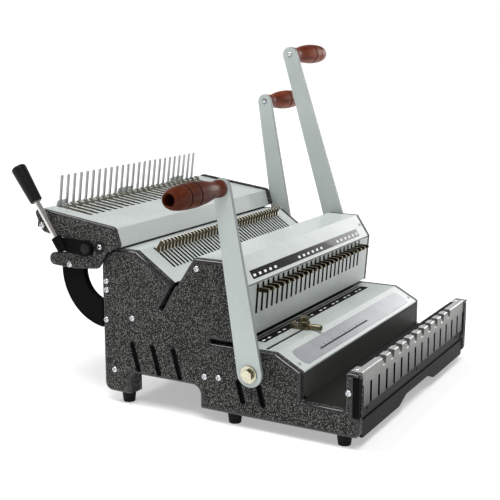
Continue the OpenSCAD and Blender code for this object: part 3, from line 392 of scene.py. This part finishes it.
def facing(origin, along, up):
    """A place whose X runs along, Y runs up the surface and Z leaves it."""
    along, up = along.normalized(), up.normalized()
    out = along.cross(up)
    return Matrix.Translation(origin) @ Matrix((along, up, out)).transposed().to_4x4()


def outward(foot, side):
    """A place on a side face that looks out of the machine; side is -1 on the left, 1 on the right."""
    return facing(foot, Y * side, Z)


def on_slope(foot, up, x, along):
    """A place on a sloped face, so far along it from its foot."""
    return facing(foot + X * x + up.normalized() * along, X, up)


def on_unit(x, y, z):
    """A point of the tilted comb opener, from the front edge of its top."""
    return unit_origin + X * x + unit_along * y + unit_up * z


def finger_x(i):
    """Where a finger of the comb opener stands."""
    return (i - PIN_COUNT / 2) * COMB_PITCH


def pin_x(i):
    """Where a pin of the comb punches stands."""
    return (i - (PIN_COUNT - 1) / 2) * COMB_PITCH


def rectangle(w, h, r=0.0, steps=5):
    """The outline of a rectangle about the origin, with round corners where r is given."""
    if not r:
        return [(-w / 2, -h / 2), (w / 2, -h / 2), (w / 2, h / 2), (-w / 2, h / 2)]
    corners = ((1, 1, 0), (-1, 1, 90), (-1, -1, 180), (1, -1, 270))
    angles = [(cx, cy, math.radians(start + 90 * i / steps))
              for cx, cy, start in corners for i in range(steps + 1)]
    return [(cx * (w / 2 - r) + r * math.cos(a), cy * (h / 2 - r) + r * math.sin(a)) for cx, cy, a in angles]


def prism(bm, outline, depth, place, edge=0.0, lower_edge=False):
    """Adds a flat outline in the place's XY plane, raised by depth, with a rounded upper edge, or both."""
    low = [bm.verts.new(place @ Vector((x, y, 0))) for x, y in outline]
    high = [bm.verts.new(place @ Vector((x, y, depth))) for x, y in outline]
    top, bottom = bm.faces.new(high), bm.faces.new(low[::-1])
    for i in range(len(outline)):
        j = (i + 1) % len(outline)
        bm.faces.new((low[i], low[j], high[j], high[i]))
    if edge:
        rims = list(top.edges) + (list(bottom.edges) if lower_edge else [])
        bmesh.ops.bevel(bm, geom=rims, offset=edge, segments=2, affect="EDGES", profile=0.5)


def block(bm, lo, hi, edge=0.0):
    """Adds an upright box between two corners."""
    place = Matrix.Translation(Vector(((lo[0] + hi[0]) / 2, (lo[1] + hi[1]) / 2, lo[2])))
    prism(bm, rectangle(hi[0] - lo[0], hi[1] - lo[1]), hi[2] - lo[2], place, edge)


def revolve(bm, profile, place, steps=24):
    """Turns (radius, height) points about the place's Z axis; a radius may be a function of the angle."""
    rings = []
    for radius, height in profile:
        ring = []
        for i in range(steps):
            a = 2 * math.pi * i / steps
            r = radius(a) if callable(radius) else radius
            ring.append(bm.verts.new(place @ Vector((r * math.cos(a), r * math.sin(a), height))))
        rings.append(ring)
    for a, b in zip(rings, rings[1:]):
        for i in range(steps):
            j = (i + 1) % steps
            bm.faces.new((a[i], a[j], b[j], b[i]))
    bm.faces.new(rings[0][::-1])
    bm.faces.new(rings[-1])


def spline(points, steps):
    """Points of a smooth curve through the given points."""
    ends = [points[0], *points, points[-1]]
    curve = []
    for before, a, b, after in zip(ends, ends[1:], ends[2:], ends[3:]):
        for i in range(steps):
            t = i / steps
            leave, arrive = (b - before) / 2, (after - a) / 2
            curve.append(a * (1 + 2 * t) * (1 - t) ** 2 + b * t * t * (3 - 2 * t)
                         + leave * t * (1 - t) ** 2 - arrive * t * t * (1 - t))
    return [*curve, points[-1]]


def hexagon(radius):
    """The radius of a hexagon at each angle, for a profile that is turned."""
    return lambda a: radius * math.cos(math.pi / 6) / math.cos(a % (math.pi / 3) - math.pi / 6)


def button_screw(bm, place, d, h):
    """A domed screw head with a hexagon socket."""
    r = d / 2
    socket = hexagon(r * 0.46)
    revolve(bm, [(r, 0), (r, 0.25 * h), (0.88 * r, 0.62 * h), (0.7 * r, 0.88 * h), (0.52 * r, h),
                 (socket, h), (socket, 0.3 * h)], place)


def islands(node):
    """The lowest and highest corners of each separate solid of a node."""
    bm = bmesh.new()
    bm.from_mesh(nodes[node].data)
    bmesh.ops.remove_doubles(bm, verts=bm.verts, dist=WELD)
    seen, found = set(), []
    for start in bm.verts:
        if start in seen:
            continue
        seen.add(start)
        points, todo = [], [start]
        while todo:
            vert = todo.pop()
            points.append(vert.co)
            near = [v for v in (edge.other_vert(vert) for edge in vert.link_edges) if v not in seen]
            seen.update(near)
            todo.extend(near)
        found.append((Vector(map(min, *points)), Vector(map(max, *points))))
    bm.free()
    return found


# Plates with rounded rims; these are the places of their materials
RIM_SLOT, DEEP_SLOT = 1, 2


def inset(points, shifts):
    """Moves the sides of a closed outline to their left; sides that shrink away end in one point."""
    count = len(points)
    lines = []
    for i, a in enumerate(points):
        along = (points[(i + 1) % count] - a).normalized()
        lines.append((a + Vector((-along.y, along.x)) * shifts[i], along))

    def meet(first, second):
        turn = first[1].cross(second[1])
        if abs(turn) < 0.001:
            return second[0]
        return first[0] + first[1] * ((second[0] - first[0]).cross(second[1]) / turn)

    alive = list(range(count))
    while True:
        corner = {i: meet(lines[alive[k - 1]], lines[i]) for k, i in enumerate(alive)}
        after = dict(zip(alive, alive[1:] + alive[:1]))
        length, worst = min(((corner[after[i]] - corner[i]).dot(lines[i][1]), i) for i in alive)
        if length >= 0:
            break
        alive.remove(worst)
    return [corner[next((j for j in alive if j >= i), alive[0])] for i in range(count)]


def face_loops(bm, x, side):
    """Takes the flat faces at x out of a mesh; gives their outlines as (corner, is_convex), widest first."""
    flat = [face for face in bm.faces
            if face.normal.x * side > 0.9 and all(abs(v.co.x - x) < 0.01 * MM for v in face.verts)]
    inside = set(flat)
    step = {}
    for face in flat:
        for loop in face.loops:
            if not all(f in inside for f in loop.edge.link_faces):
                step[loop.vert] = (loop.link_loop_next.vert, loop.edge.is_convex)
    outlines = []
    while step:
        outline = []
        vert = next(iter(step))
        while vert in step:
            onward, convex = step.pop(vert)
            outline.append((vert, convex))
            vert = onward
        outlines.append(outline)
    bmesh.ops.delete(bm, geom=flat, context="FACES")

    def width(outline):
        reach = [vert.co.y for vert, convex in outline]
        return max(reach) - min(reach)

    return sorted(outlines, key=width, reverse=True)


def round_face(bm, x, side, edge, hole_edge, steps=5):
    """Builds a plate's flat face at x anew, with a rounded rim; side is the way it looks along X."""
    border = []
    for index, outline in enumerate(face_loops(bm, x, side)):
        # Hole rims take the deep black as painted shade; the outer rim takes the rim hammertone, darkened as
        # a painted dark reflection.
        radius, slot = (hole_edge, DEEP_SLOT) if index else (edge, RIM_SLOT)
        ring = [vert for vert, convex in outline]
        flat = [Vector((side * vert.co.y, vert.co.z)) for vert in ring]
        sizes = [radius if convex else 0 for vert, convex in outline]
        for i, vert in enumerate(ring):
            vert.co.x -= side * min(sizes[i - 1], sizes[i])
        drops = [x - vert.co.x for vert in ring]
        for k in range(1, steps + 1) if radius else ():
            a = math.pi / 2 * k / steps
            spots = inset(flat, [size * (1 - math.cos(a)) for size in sizes])
            made, upper = {}, []
            for spot, drop in zip(spots, drops):
                at = (round(spot.x, 7), round(spot.y, 7))
                if at not in made:
                    made[at] = bm.verts.new((x - drop * (1 - math.sin(a)), side * spot.x, spot.y))
                upper.append(made[at])
            for i in range(len(ring)):
                corners = tuple(dict.fromkeys((ring[i - 1], ring[i], upper[i], upper[i - 1])))
                if len(corners) > 2:
                    bm.faces.new(corners).material_index = slot
            ring = upper
        for a, b in zip(ring, ring[1:] + ring[:1]):
            if a is not b:
                border.append(bm.edges.get((a, b)) or bm.edges.new((a, b)))
    bmesh.ops.triangle_fill(bm, use_beauty=True, use_dissolve=False, edges=border, normal=X * side)


def rounded_plate(name, edge, hole_edge, inner_edge, groove=2.6 * MM):
    """A plate with rounded rims in place of the CAD one; its grooves, less deep than groove, and the rims of
    its holes are painted black as painted shade.
    """
    lo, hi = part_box(name)
    side = math.copysign(1, lo.x)
    outer = hi.x if side > 0 else lo.x
    bm = bmesh.new()
    bm.from_mesh(nodes[name].data)
    bmesh.ops.remove_doubles(bm, verts=bm.verts, dist=WELD)
    bmesh.ops.dissolve_limit(bm, angle_limit=FLAT_ANGLE, verts=bm.verts, edges=bm.edges)
    bm.normal_update()
    for face in bm.faces:
        depths = [(outer - v.co.x) * side for v in face.verts]
        is_wall, is_floor = abs(face.normal.x) < 0.1, min(depths) > 0
        # Shallow grooves are painted deep black as painted shade.
        if max(depths) < groove and (is_wall or is_floor):
            face.material_index = DEEP_SLOT
    round_face(bm, outer, side, edge, hole_edge)
    if inner_edge:
        bm.normal_update()
        round_face(bm, side * inside_x, -side, inner_edge, 0)
    piece = add_piece(name + "_rounded", bm, FINISH["hammertone"], "frame")
    for material in (RIM, DEEP):
        piece.data.materials.append(material)
    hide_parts(name)


# Fittings of the frame
def frame_screws():
    """Socket screws in the side plates, where the CAD has plain heads."""
    bm = bmesh.new()
    for lo, hi in islands("frame_screws"):
        middle = (lo + hi) / 2
        side = math.copysign(1, middle.x)
        foot = Vector((side * half_w, middle.y, middle.z))
        button_screw(bm, outward(foot, side), hi.y - lo.y, hi.x - lo.x)
    piece = add_piece("frame_screw_heads", bm, FINISH["zinc"], "frame")
    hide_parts("frame_screws")


def unit_screws():
    """Screws in the ears of the comb opener's plates, and a ringed one in front of the comb shaft."""
    ear_d, ear_h, front_d, front_h = 8.4 * MM, 1.9 * MM, 7.4 * MM, 2.2 * MM
    ears = ((93.9 * MM, 23.2 * MM), (48.6 * MM, -26.6 * MM))
    ring_y, ring_z, ring_r, ring_h = -2.9 * MM, 1.9 * MM, 8.6 * MM, 0.8 * MM
    rim = [(ring_r, 0), (ring_r, 0.6 * ring_h), (ring_r - 0.5 * MM, ring_h), (0.1 * MM, ring_h)]
    back, top = plate_hi.y, plate_hi.z
    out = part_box("unit_right_plate")[1].x
    bm = bmesh.new()
    for hand, side in (("left", -1), ("right", 1)):
        for y, z in ears:
            button_screw(bm, outward(Vector((side * out, back + y, top + z)), side), ear_d, ear_h)
        place = outward(Vector((side * out, back + ring_y, top + ring_z)), side)
        button_screw(bm, place, front_d, front_h)
        ring = bmesh.new()
        revolve(ring, rim, place, 40)
        add_piece("unit_ring_" + hand, ring, FINISH["dark_paint"], "frame")
    add_piece("unit_screw_heads", bm, FINISH["zinc"], "frame")


def cover_screws():
    """Small screws that hold the ends of the hump cover and of the nose."""
    x, nose_y, hump_y, d, h = inside_x - 7 * MM, 12 * MM, 21 * MM, 5 * MM, 1.2 * MM
    bm = bmesh.new()
    for side in (-1, 1):
        button_screw(bm, on_slope(nose_foot, nose_up, side * x, nose_y), d, h)
        button_screw(bm, on_slope(hump_foot, hump_up, side * x, hump_y), d, h)
    add_piece("cover_screw_heads", bm, FINISH["steel"], "frame")


def hump_scale():
    """Dark strip with white marks over some of the punches, on the sloped face of the hump."""
    strip_h, corner, overhang, middle = 12 * MM, 1 * MM, 7 * MM, 11 * MM
    mark_w, mark_h, mark_drop = 6 * MM, 3.4 * MM, 1.5 * MM
    marked = [*range(0, 5), *range(9, 15), *range(18, 24)]
    strip, marks = bmesh.new(), bmesh.new()
    length = pin_x(PIN_COUNT - 1) - pin_x(0) + 2 * overhang
    place = on_slope(hump_foot, hump_up, 0, middle)
    prism(strip, rectangle(length, strip_h, corner), STRIP_T, place, STRIP_EDGE)
    for i in marked:
        place = on_slope(hump_foot, hump_up, pin_x(i), middle - mark_drop) @ Matrix.Translation(Z * STRIP_T)
        prism(marks, rectangle(mark_w, mark_h), PRINT_T, place)
    add_piece("hump_scale_strip", strip, INK, "frame")
    add_piece("hump_scale_marks", marks, MARK, "frame")


def table_scale():
    """Dark strip with white dashes along the back of the table, and two thin rails behind them."""
    near, far, dash_y, dash_l, dash_w = 1 * MM, 21 * MM, 15.5 * MM, 7 * MM, 2.6 * MM
    rails, rail_w, rail_h, rail_edge, overhang = (2.5 * MM, 7.1 * MM), 1.3 * MM, 0.6 * MM, 0.2 * MM, 5 * MM
    length = PIN_COUNT * COMB_PITCH
    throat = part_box("front_face_plate")[1].y
    strip, marks, rail = bmesh.new(), bmesh.new(), bmesh.new()

    def on_table(x, back):
        return facing(Vector((x, throat - back, table_hi.z)), X, Y)

    prism(strip, rectangle(length, far - near), STRIP_T, on_table(0, (near + far) / 2), STRIP_EDGE)
    for i in range(PIN_COUNT):
        if i % 6 not in (2, 5):
            place = on_table(pin_x(i), dash_y) @ Matrix.Translation(Z * STRIP_T)
            prism(marks, rectangle(dash_l, dash_w), PRINT_T, place)
    for back in rails:
        prism(rail, rectangle(length + 2 * overhang, rail_w), rail_h, on_table(0, back), rail_edge)
    add_piece("table_scale_strip", strip, DEEP, "frame")
    add_piece("table_scale_marks", marks, MARK, "frame")
    add_piece("table_paper_rail", rail, FINISH["steel"], "frame")


def nose_label():
    """Plain silver-grey plate on the sloped nose with one long rule and its ticks."""
    width, height, corner, thick, edge = 361 * MM, 27 * MM, 9 * MM, 0.4 * MM, 0.15 * MM
    plate_x, middle = -1.5 * MM, nose_up.length * 0.46
    rule_x, rule_drop, rule_l, rule_w, line_t = -47 * MM, 4 * MM, 157 * MM, 2 * MM, 0.08 * MM
    ticks, tick_x, tick_pitch, tick_drop, tick_w = 12, -120 * MM, 13 * MM, 0.6 * MM, 0.6 * MM
    long_tick, short_tick = 4.5 * MM, 2.5 * MM
    plate, lines = bmesh.new(), bmesh.new()
    place = on_slope(nose_foot, nose_up, plate_x, middle)
    prism(plate, rectangle(width, height, corner), thick, place, edge)

    def line(x, along, w, h):
        prism(lines, rectangle(w, h), line_t,
              on_slope(nose_foot, nose_up, x, along) @ Matrix.Translation(Z * thick))

    line(rule_x, middle - rule_drop, rule_l, rule_w)
    for i in range(ticks):
        line(tick_x + i * tick_pitch, middle - tick_drop, tick_w, short_tick if i % 3 else long_tick)
    add_piece("nose_label_plate", plate, LABEL, "frame")
    add_piece("nose_label_rule", lines, DEEP, "frame")


def closer_fittings():
    """Dots on the strip behind the closer bar, screws on the bar's ends and in the rail below it."""
    dots, dot_pitch = 11, 28.2 * MM
    dot = [(1.2 * MM, 0), (1.2 * MM, 0.2 * MM), (0.7 * MM, 0.4 * MM)]
    end_inset, end_back, end_d, end_h = 9 * MM, 2 * MM, 6 * MM, 1.4 * MM
    rail_x, rail_z, rail_d, rail_h = 174 * MM, 8 * MM, 4.6 * MM, 1.1 * MM
    lo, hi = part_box("closer_bar")
    rail_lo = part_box("closer_rail")[0]
    bright, dark = bmesh.new(), bmesh.new()
    for i in range(dots):
        foot = Vector(((i - (dots - 1) / 2) * dot_pitch, (lo.y + BAR_WEB + hi.y) / 2, hi.z))
        revolve(dark, dot, Matrix.Translation(foot), 12)
    for side in (-1, 1):
        foot = Vector((side * (hi.x - end_inset), (lo.y + hi.y) / 2 + end_back, hi.z))
        button_screw(bright, Matrix.Translation(foot), end_d, end_h)
    for x in (-rail_x, 0, rail_x):
        foot = Vector((x, rail_lo.y, rail_lo.z + rail_z))
        button_screw(dark, facing(foot, X, Z), rail_d, rail_h)
    add_piece("closer_end_screws", bright, FINISH["zinc"], "frame")
    # The dots and the rail screws take the near-black steel, a painted shade.
    add_piece("closer_rail_screws", dark, SHADED_STEEL, "frame")


def pocket_shade_liners():
    """Black strips in the pockets of the side plates' front edges: painted shade, put where the pockets lie
    in shade.
    """
    sunk, edge = 0.8 * MM, 0.4 * MM
    low, high = POCKET["z"]
    bm = bmesh.new()
    for side in (-1, 1):
        left, right = sorted((side * (half_w - POCKET["x"]), side * (half_w - sunk)))
        block(bm, (left, plate_lo.y + sunk, low), (right, plate_lo.y + POCKET["y"], high), edge)
    add_piece("pocket_shade_liners", bm, DEEP, "frame")


def finger_tabs():
    """Pale plastic tabs that stand behind some of the fingers."""
    tall, thick, margin, corner, edge = 8.5 * MM, 1.5 * MM, 5 * MM, 2 * MM, 0.3 * MM
    bm = bmesh.new()
    for first, last in ((0, 1), (10, 12), (20, 22)):
        x0, x1 = finger_x(first) - margin, finger_x(last) + margin
        place = facing(on_unit((x0 + x1) / 2, FINGER_BACK, tall / 2), -X, unit_up)
        prism(bm, rectangle(x1 - x0, tall, corner), thick, place, edge)
    add_piece("finger_tabs", bm, TAB, "frame")


# Fittings of the moving bodies
def hook_loops():
    """Wire loops of the comb hooks, which lie over the slots of the comb opener."""
    wire, half, front, back, low, high = 1 * MM, 2.6 * MM, 78 * MM, 116 * MM, 0.2 * MM, 0.9 * MM
    edge, steps = 0.25 * MM, 10
    outer, inner = half + wire / 2, half - wire / 2
    bend = [math.pi * i / steps for i in range(steps + 1)]
    outline = [(outer, front), *((outer * math.cos(a), back + outer * math.sin(a)) for a in bend),
               (-outer, front), (-inner, front),
               *((-inner * math.cos(a), back + inner * math.sin(a)) for a in bend), (inner, front)]
    bm = bmesh.new()
    for i in range(PIN_COUNT + 1):
        place = facing(on_unit(finger_x(i), 0, low), X, unit_along)
        prism(bm, outline, high - low, place, edge)
    add_piece("comb_hook_loops", bm, HOOK, "comb_hook_set")


def turned_handle(name, body, wood):
    """A smooth turned handle over the CAD one: slim neck with a soft bead, grooved barrel and rounded end."""
    lo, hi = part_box(name)
    side = math.copysign(1, lo.x)
    length, widest = hi.x - lo.x, (hi.z - lo.z) / 2
    shape = ((0.6, 0), (0.69, 0.025), (0.71, 0.06), (0.69, 0.1), (0.66, 0.145), (0.68, 0.19), (0.75, 0.25),
             (0.84, 0.32), (0.92, 0.4), (0.97, 0.49), (1, 0.6), (0.985, 0.7), (0.955, 0.78), (0.9, 0.86),
             (0.82, 0.92), (0.71, 0.965), (0.6, 0.995))
    grooves, depth, slope, half = (0.575 * length, 0.763 * length), 0.9 * MM, 1.4 * MM, 1 * MM
    sink_r, sink, sink_edge = 7.5 * MM, 22 * MM, 0.6 * MM
    profile = []
    for r, z in spline([Vector((r * widest, z * length)) for r, z in shape], 8):
        near = min(abs(z - groove) for groove in grooves)
        profile.append((r - depth * max(0, 1 - near / slope), z))
    for groove in grooves:
        beside = next(r for r, z in profile if z > groove + 1.5 * MM)
        for step, drop in ((-1.2, 0), (-0.4, 1), (0.4, 1), (1.2, 0)):
            profile.append((beside - depth * drop, groove + step * MM))
    profile.sort(key=lambda point: point[1])
    profile += [(sink_r + sink_edge, length), (sink_r, length - sink_edge), (sink_r, length - sink)]
    middle = (lo + hi) / 2
    foot = Vector((lo.x if side > 0 else hi.x, middle.y, middle.z))
    bm = bmesh.new()
    revolve(bm, profile, outward(foot, side), 48)
    for face in bm.faces:
        reach = abs(face.calc_center_median().x - foot.x)
        face.material_index = int(any(abs(reach - groove) < half for groove in grooves))
    piece = add_piece(name + "_turned", bm, wood, body)
    piece.data.materials.append(BURNT)
    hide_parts(name)


def lever_cap(bolt, body, height):
    """The riveted end of a handle bolt on the inner face of its lever."""
    lo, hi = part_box(bolt)
    side, r = math.copysign(1, lo.x), 3.6 * MM
    middle = (lo + hi) / 2
    foot = Vector((lo.x if side > 0 else hi.x, middle.y, middle.z))
    bm = bmesh.new()
    revolve(bm, [(r, 0), (r, 0.3 * height), (0.8 * r, 0.8 * height), (0.4 * r, height)], outward(foot, -side))
    add_piece(bolt + "_cap", bm, FINISH["zinc"], body)


def front_bars():
    """Rounded pull bars of the front station, a little thicker than the CAD ones."""
    thick, corner, edge = 4 * MM, 2.4 * MM, 1.3 * MM
    bm = bmesh.new()
    for lo, hi in islands("front_pulls"):
        tall, long = 0.8 * (hi.z - lo.z), hi.y - lo.y
        place = facing((lo + hi) / 2, Y, Z) @ Matrix.Translation(Z * -thick / 2)
        prism(bm, rectangle(long, tall, corner), thick, place, edge, True)
    piece = add_piece("front_pull_bars", bm, PULL, "front_punch_set")
    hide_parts("front_pulls")


def rear_fins():
    """Thin pull fins of the rear station, each with a hollow for the finger in its lower edge."""
    outline = [(7, 0), (-5, 0), (-8, 0.4), (-10.5, 1.8), (-13, 2.9), (-15.5, 2.6), (-18, 1.2), (-20, 0.1),
               (-21.2, 0.6), (-21.5, 2), (-21.2, 5), (-20, 6.6), (-18.5, 7), (7, 7)]
    thick, edge, foot = 2 * MM, 0.4 * MM, 58 * MM
    into = Vector((0, math.cos(REAR_TILT), -math.sin(REAR_TILT)))
    up = Vector((0, math.sin(REAR_TILT), math.cos(REAR_TILT)))
    bm = bmesh.new()
    for lo, hi in islands("rear_pulls"):
        origin = VALLEY + X * (lo.x + hi.x) / 2 + up * foot
        place = facing(origin, into, up) @ Matrix.Translation(Z * -thick / 2)
        prism(bm, [(a * MM, b * MM) for a, b in outline], thick, place, edge, True)
    piece = add_piece("rear_pull_fins", bm, FIN, "rear_punch_set")
    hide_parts("rear_pulls")


def paper_guide():
    """The edge guide: base plate with a low fence, round pointer, and the key and nut under the table."""
    plate_t, plate_edge, corner, play = 4 * MM, 0.6 * MM, 2 * MM, 0.2 * MM
    fence_h, fence_t, fence_edge = 8 * MM, 2 * MM, 0.5 * MM
    key_x, key_y, nut, nut_h = 5 * MM, 2 * MM, 6 * MM, 3 * MM
    r, overlap, plate_reach = 4 * MM, 1 * MM, 9 * MM
    lo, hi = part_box("edge_guide")
    knob_lo, knob_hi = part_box("guide_knob")
    x, y = ((knob_lo + knob_hi) / 2).xy
    wide, base, front = hi.x - lo.x, table_hi.z + play, y - plate_reach
    bm = bmesh.new()
    place = facing(Vector((x, (front + hi.y) / 2, base)), X, Y)
    prism(bm, rectangle(wide, hi.y - front, corner), plate_t, place, plate_edge)
    place = facing(Vector((x, hi.y - fence_t, base + fence_h / 2)), -X, Z)
    prism(bm, rectangle(wide, fence_h, corner), fence_t, place, fence_edge, True)
    place = facing(Vector((x, front + overlap, base + r)), X, Z)
    tip = front + overlap - lo.y
    revolve(bm, [(r, 0), (r, tip - 3 * MM), (0.8 * r, tip - 2.6 * MM), (r, tip - 2.2 * MM),
                 (r, tip - 0.5 * MM), (0.85 * r, tip)], place)
    block(bm, (x - key_x, y - key_y, lo.z + nut_h), (x + key_x, y + key_y, base))
    block(bm, (x - nut, y - nut, lo.z), (x + nut, y + nut, lo.z + nut_h))
    piece = add_piece("paper_guide", bm, FINISH["brass"], "edge_guide_set")
    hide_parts("edge_guide")


def knurled_knob():
    """Two coarsely knurled nuts on one stem."""
    lo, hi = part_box("guide_knob")
    middle = (lo + hi) / 2
    r, stem_r, head, teeth = (hi.x - lo.x) / 2, 1.5 * MM, 11 * MM, 20
    base = hi.z - head

    def toothed(radius):
        return lambda a: radius * (1 - 0.06 * (1 + math.cos(teeth * a)))

    lower, upper = toothed(r), toothed(0.88 * r)
    profile = [(stem_r, lo.z), (stem_r, base), (0.8 * r, base), (lower, base + 0.8 * MM),
               (lower, base + 6 * MM), (0.78 * r, base + 6.8 * MM), (0.7 * r, base + 7.4 * MM),
               (upper, base + 8 * MM), (upper, hi.z + 1.2 * MM), (0.7 * r, hi.z + 2 * MM),
               (0.45 * r, hi.z + 2 * MM), (0.4 * r, hi.z + 1.4 * MM)]
    bm = bmesh.new()
    revolve(bm, profile, Matrix.Translation(Vector((middle.x, middle.y, 0))), 10 * teeth)
    piece = add_piece("guide_knob_knurled", bm, KNURL, "guide_knob_set")
    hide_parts("guide_knob")


# Studio
def surround():
    """White walls under a darker ceiling, and a white floor."""
    scene = bpy.context.scene
    scene.view_settings.view_transform = "Standard"
    world = bpy.data.worlds.new("studio")
    world.use_nodes = True
    tree = world.node_tree
    coord = tree.nodes.new("ShaderNodeTexCoord")
    split = tree.nodes.new("ShaderNodeSeparateXYZ")
    ramp = tree.nodes.new("ShaderNodeValToRGB")
    tree.links.new(coord.outputs["Generated"], split.inputs[0])
    tree.links.new(split.outputs["Z"], ramp.inputs["Fac"])
    tree.links.new(ramp.outputs["Color"], tree.nodes["Background"].inputs["Color"])
    for point, (height, tone) in zip(ramp.color_ramp.elements, (WALL, CEILING)):
        point.position = height
        point.color = (tone, tone, tone, 1)
    scene.world = world
    mesh = bpy.data.meshes.new("floor")
    corners = rectangle(2 * FLOOR_REACH, 2 * FLOOR_REACH)
    mesh.from_pydata([(x, y, 0) for x, y in corners], [], [(0, 1, 2, 3)])
    mesh.materials.append(Graph("floor", Base_Color=(FLOOR_TONE, FLOOR_TONE, FLOOR_TONE, 1), Roughness=0.9,
                                Emission_Color=(1, 1, 1, 1), Emission_Strength=FLOOR_GLOW).mat)
    floor = bpy.data.objects.new("floor", mesh)
    scene.collection.objects.link(floor)


def light(name, kind, power, towards, place=(0, 0, 0)):
    """Adds a light that shines in a direction, and gives its data."""
    data = bpy.data.lights.new(name, kind)
    data.energy = power
    lamp = bpy.data.objects.new(name, data)
    lamp.location = place
    lamp.rotation_euler = towards.to_track_quat("-Z", "Y").to_euler()
    bpy.context.scene.collection.objects.link(lamp)
    return data


def lights():
    """Two broad soft lights overhead and two soft panels on the right."""
    for name, (origin, spread, power) in OVERHEAD.items():
        light(name, "SUN", power, -Vector(origin)).angle = math.radians(spread)
    for name, (place, size, power) in PANELS.items():
        light(name, "AREA", power, TARGET - Vector(place), place).size = size


def camera():
    """The camera at the photograph's view."""
    data = bpy.data.cameras.new("camera")
    data.lens = LENS
    data.sensor_width = SENSOR
    back = Vector((math.sin(AZIMUTH) * math.cos(ELEVATION), -math.cos(AZIMUTH) * math.cos(ELEVATION),
                   math.sin(ELEVATION)))
    shot = bpy.data.objects.new("camera", data)
    shot.location = TARGET + back * DISTANCE
    shot.rotation_euler = (-back).to_track_quat("-Z", "Y").to_euler()
    bpy.context.scene.collection.objects.link(shot)
    bpy.context.scene.camera = shot


camera()
surround()
lights()
finish_nodes()
for hand in ("left", "right"):
    rounded_plate(hand + "_side_plate", edge=4.5 * MM, hole_edge=1.6 * MM, inner_edge=1.2 * MM)
    rounded_plate("unit_" + hand + "_plate", edge=2 * MM, hole_edge=0.5 * MM, inner_edge=0)
soften(1.2 * MM, "front_lever", "rear_lever", "closer_lever", "comb_arm", "support_brackets")
soften(0.8 * MM, "closer_jaw")
soften(0.5 * MM, "closer_bar", "drawer_front", "comb_fingers", "comb_hooks", "table_cover", "hump_cover")
frame_screws()
unit_screws()
# The closer handle takes the darker wood as painted shade, the front and rear handles the paler wood as
# painted light.
for lever, wood, cap_h in (("front", FINISH["wood"], 1.6 * MM), ("rear", FINISH["wood"], 0.7 * MM),
                           ("closer", SHADED_WOOD, 1.6 * MM)):
    turned_handle(lever + "_handle", lever + "_lever_set", wood)
    lever_cap(lever + "_handle_bolt", lever + "_lever_set", cap_h)
front_bars()
rear_fins()
paper_guide()
knurled_knob()
closer_fittings()
pocket_shade_liners()
finger_tabs()
hook_loops()
hump_scale()
table_scale()
nose_label()
cover_screws()
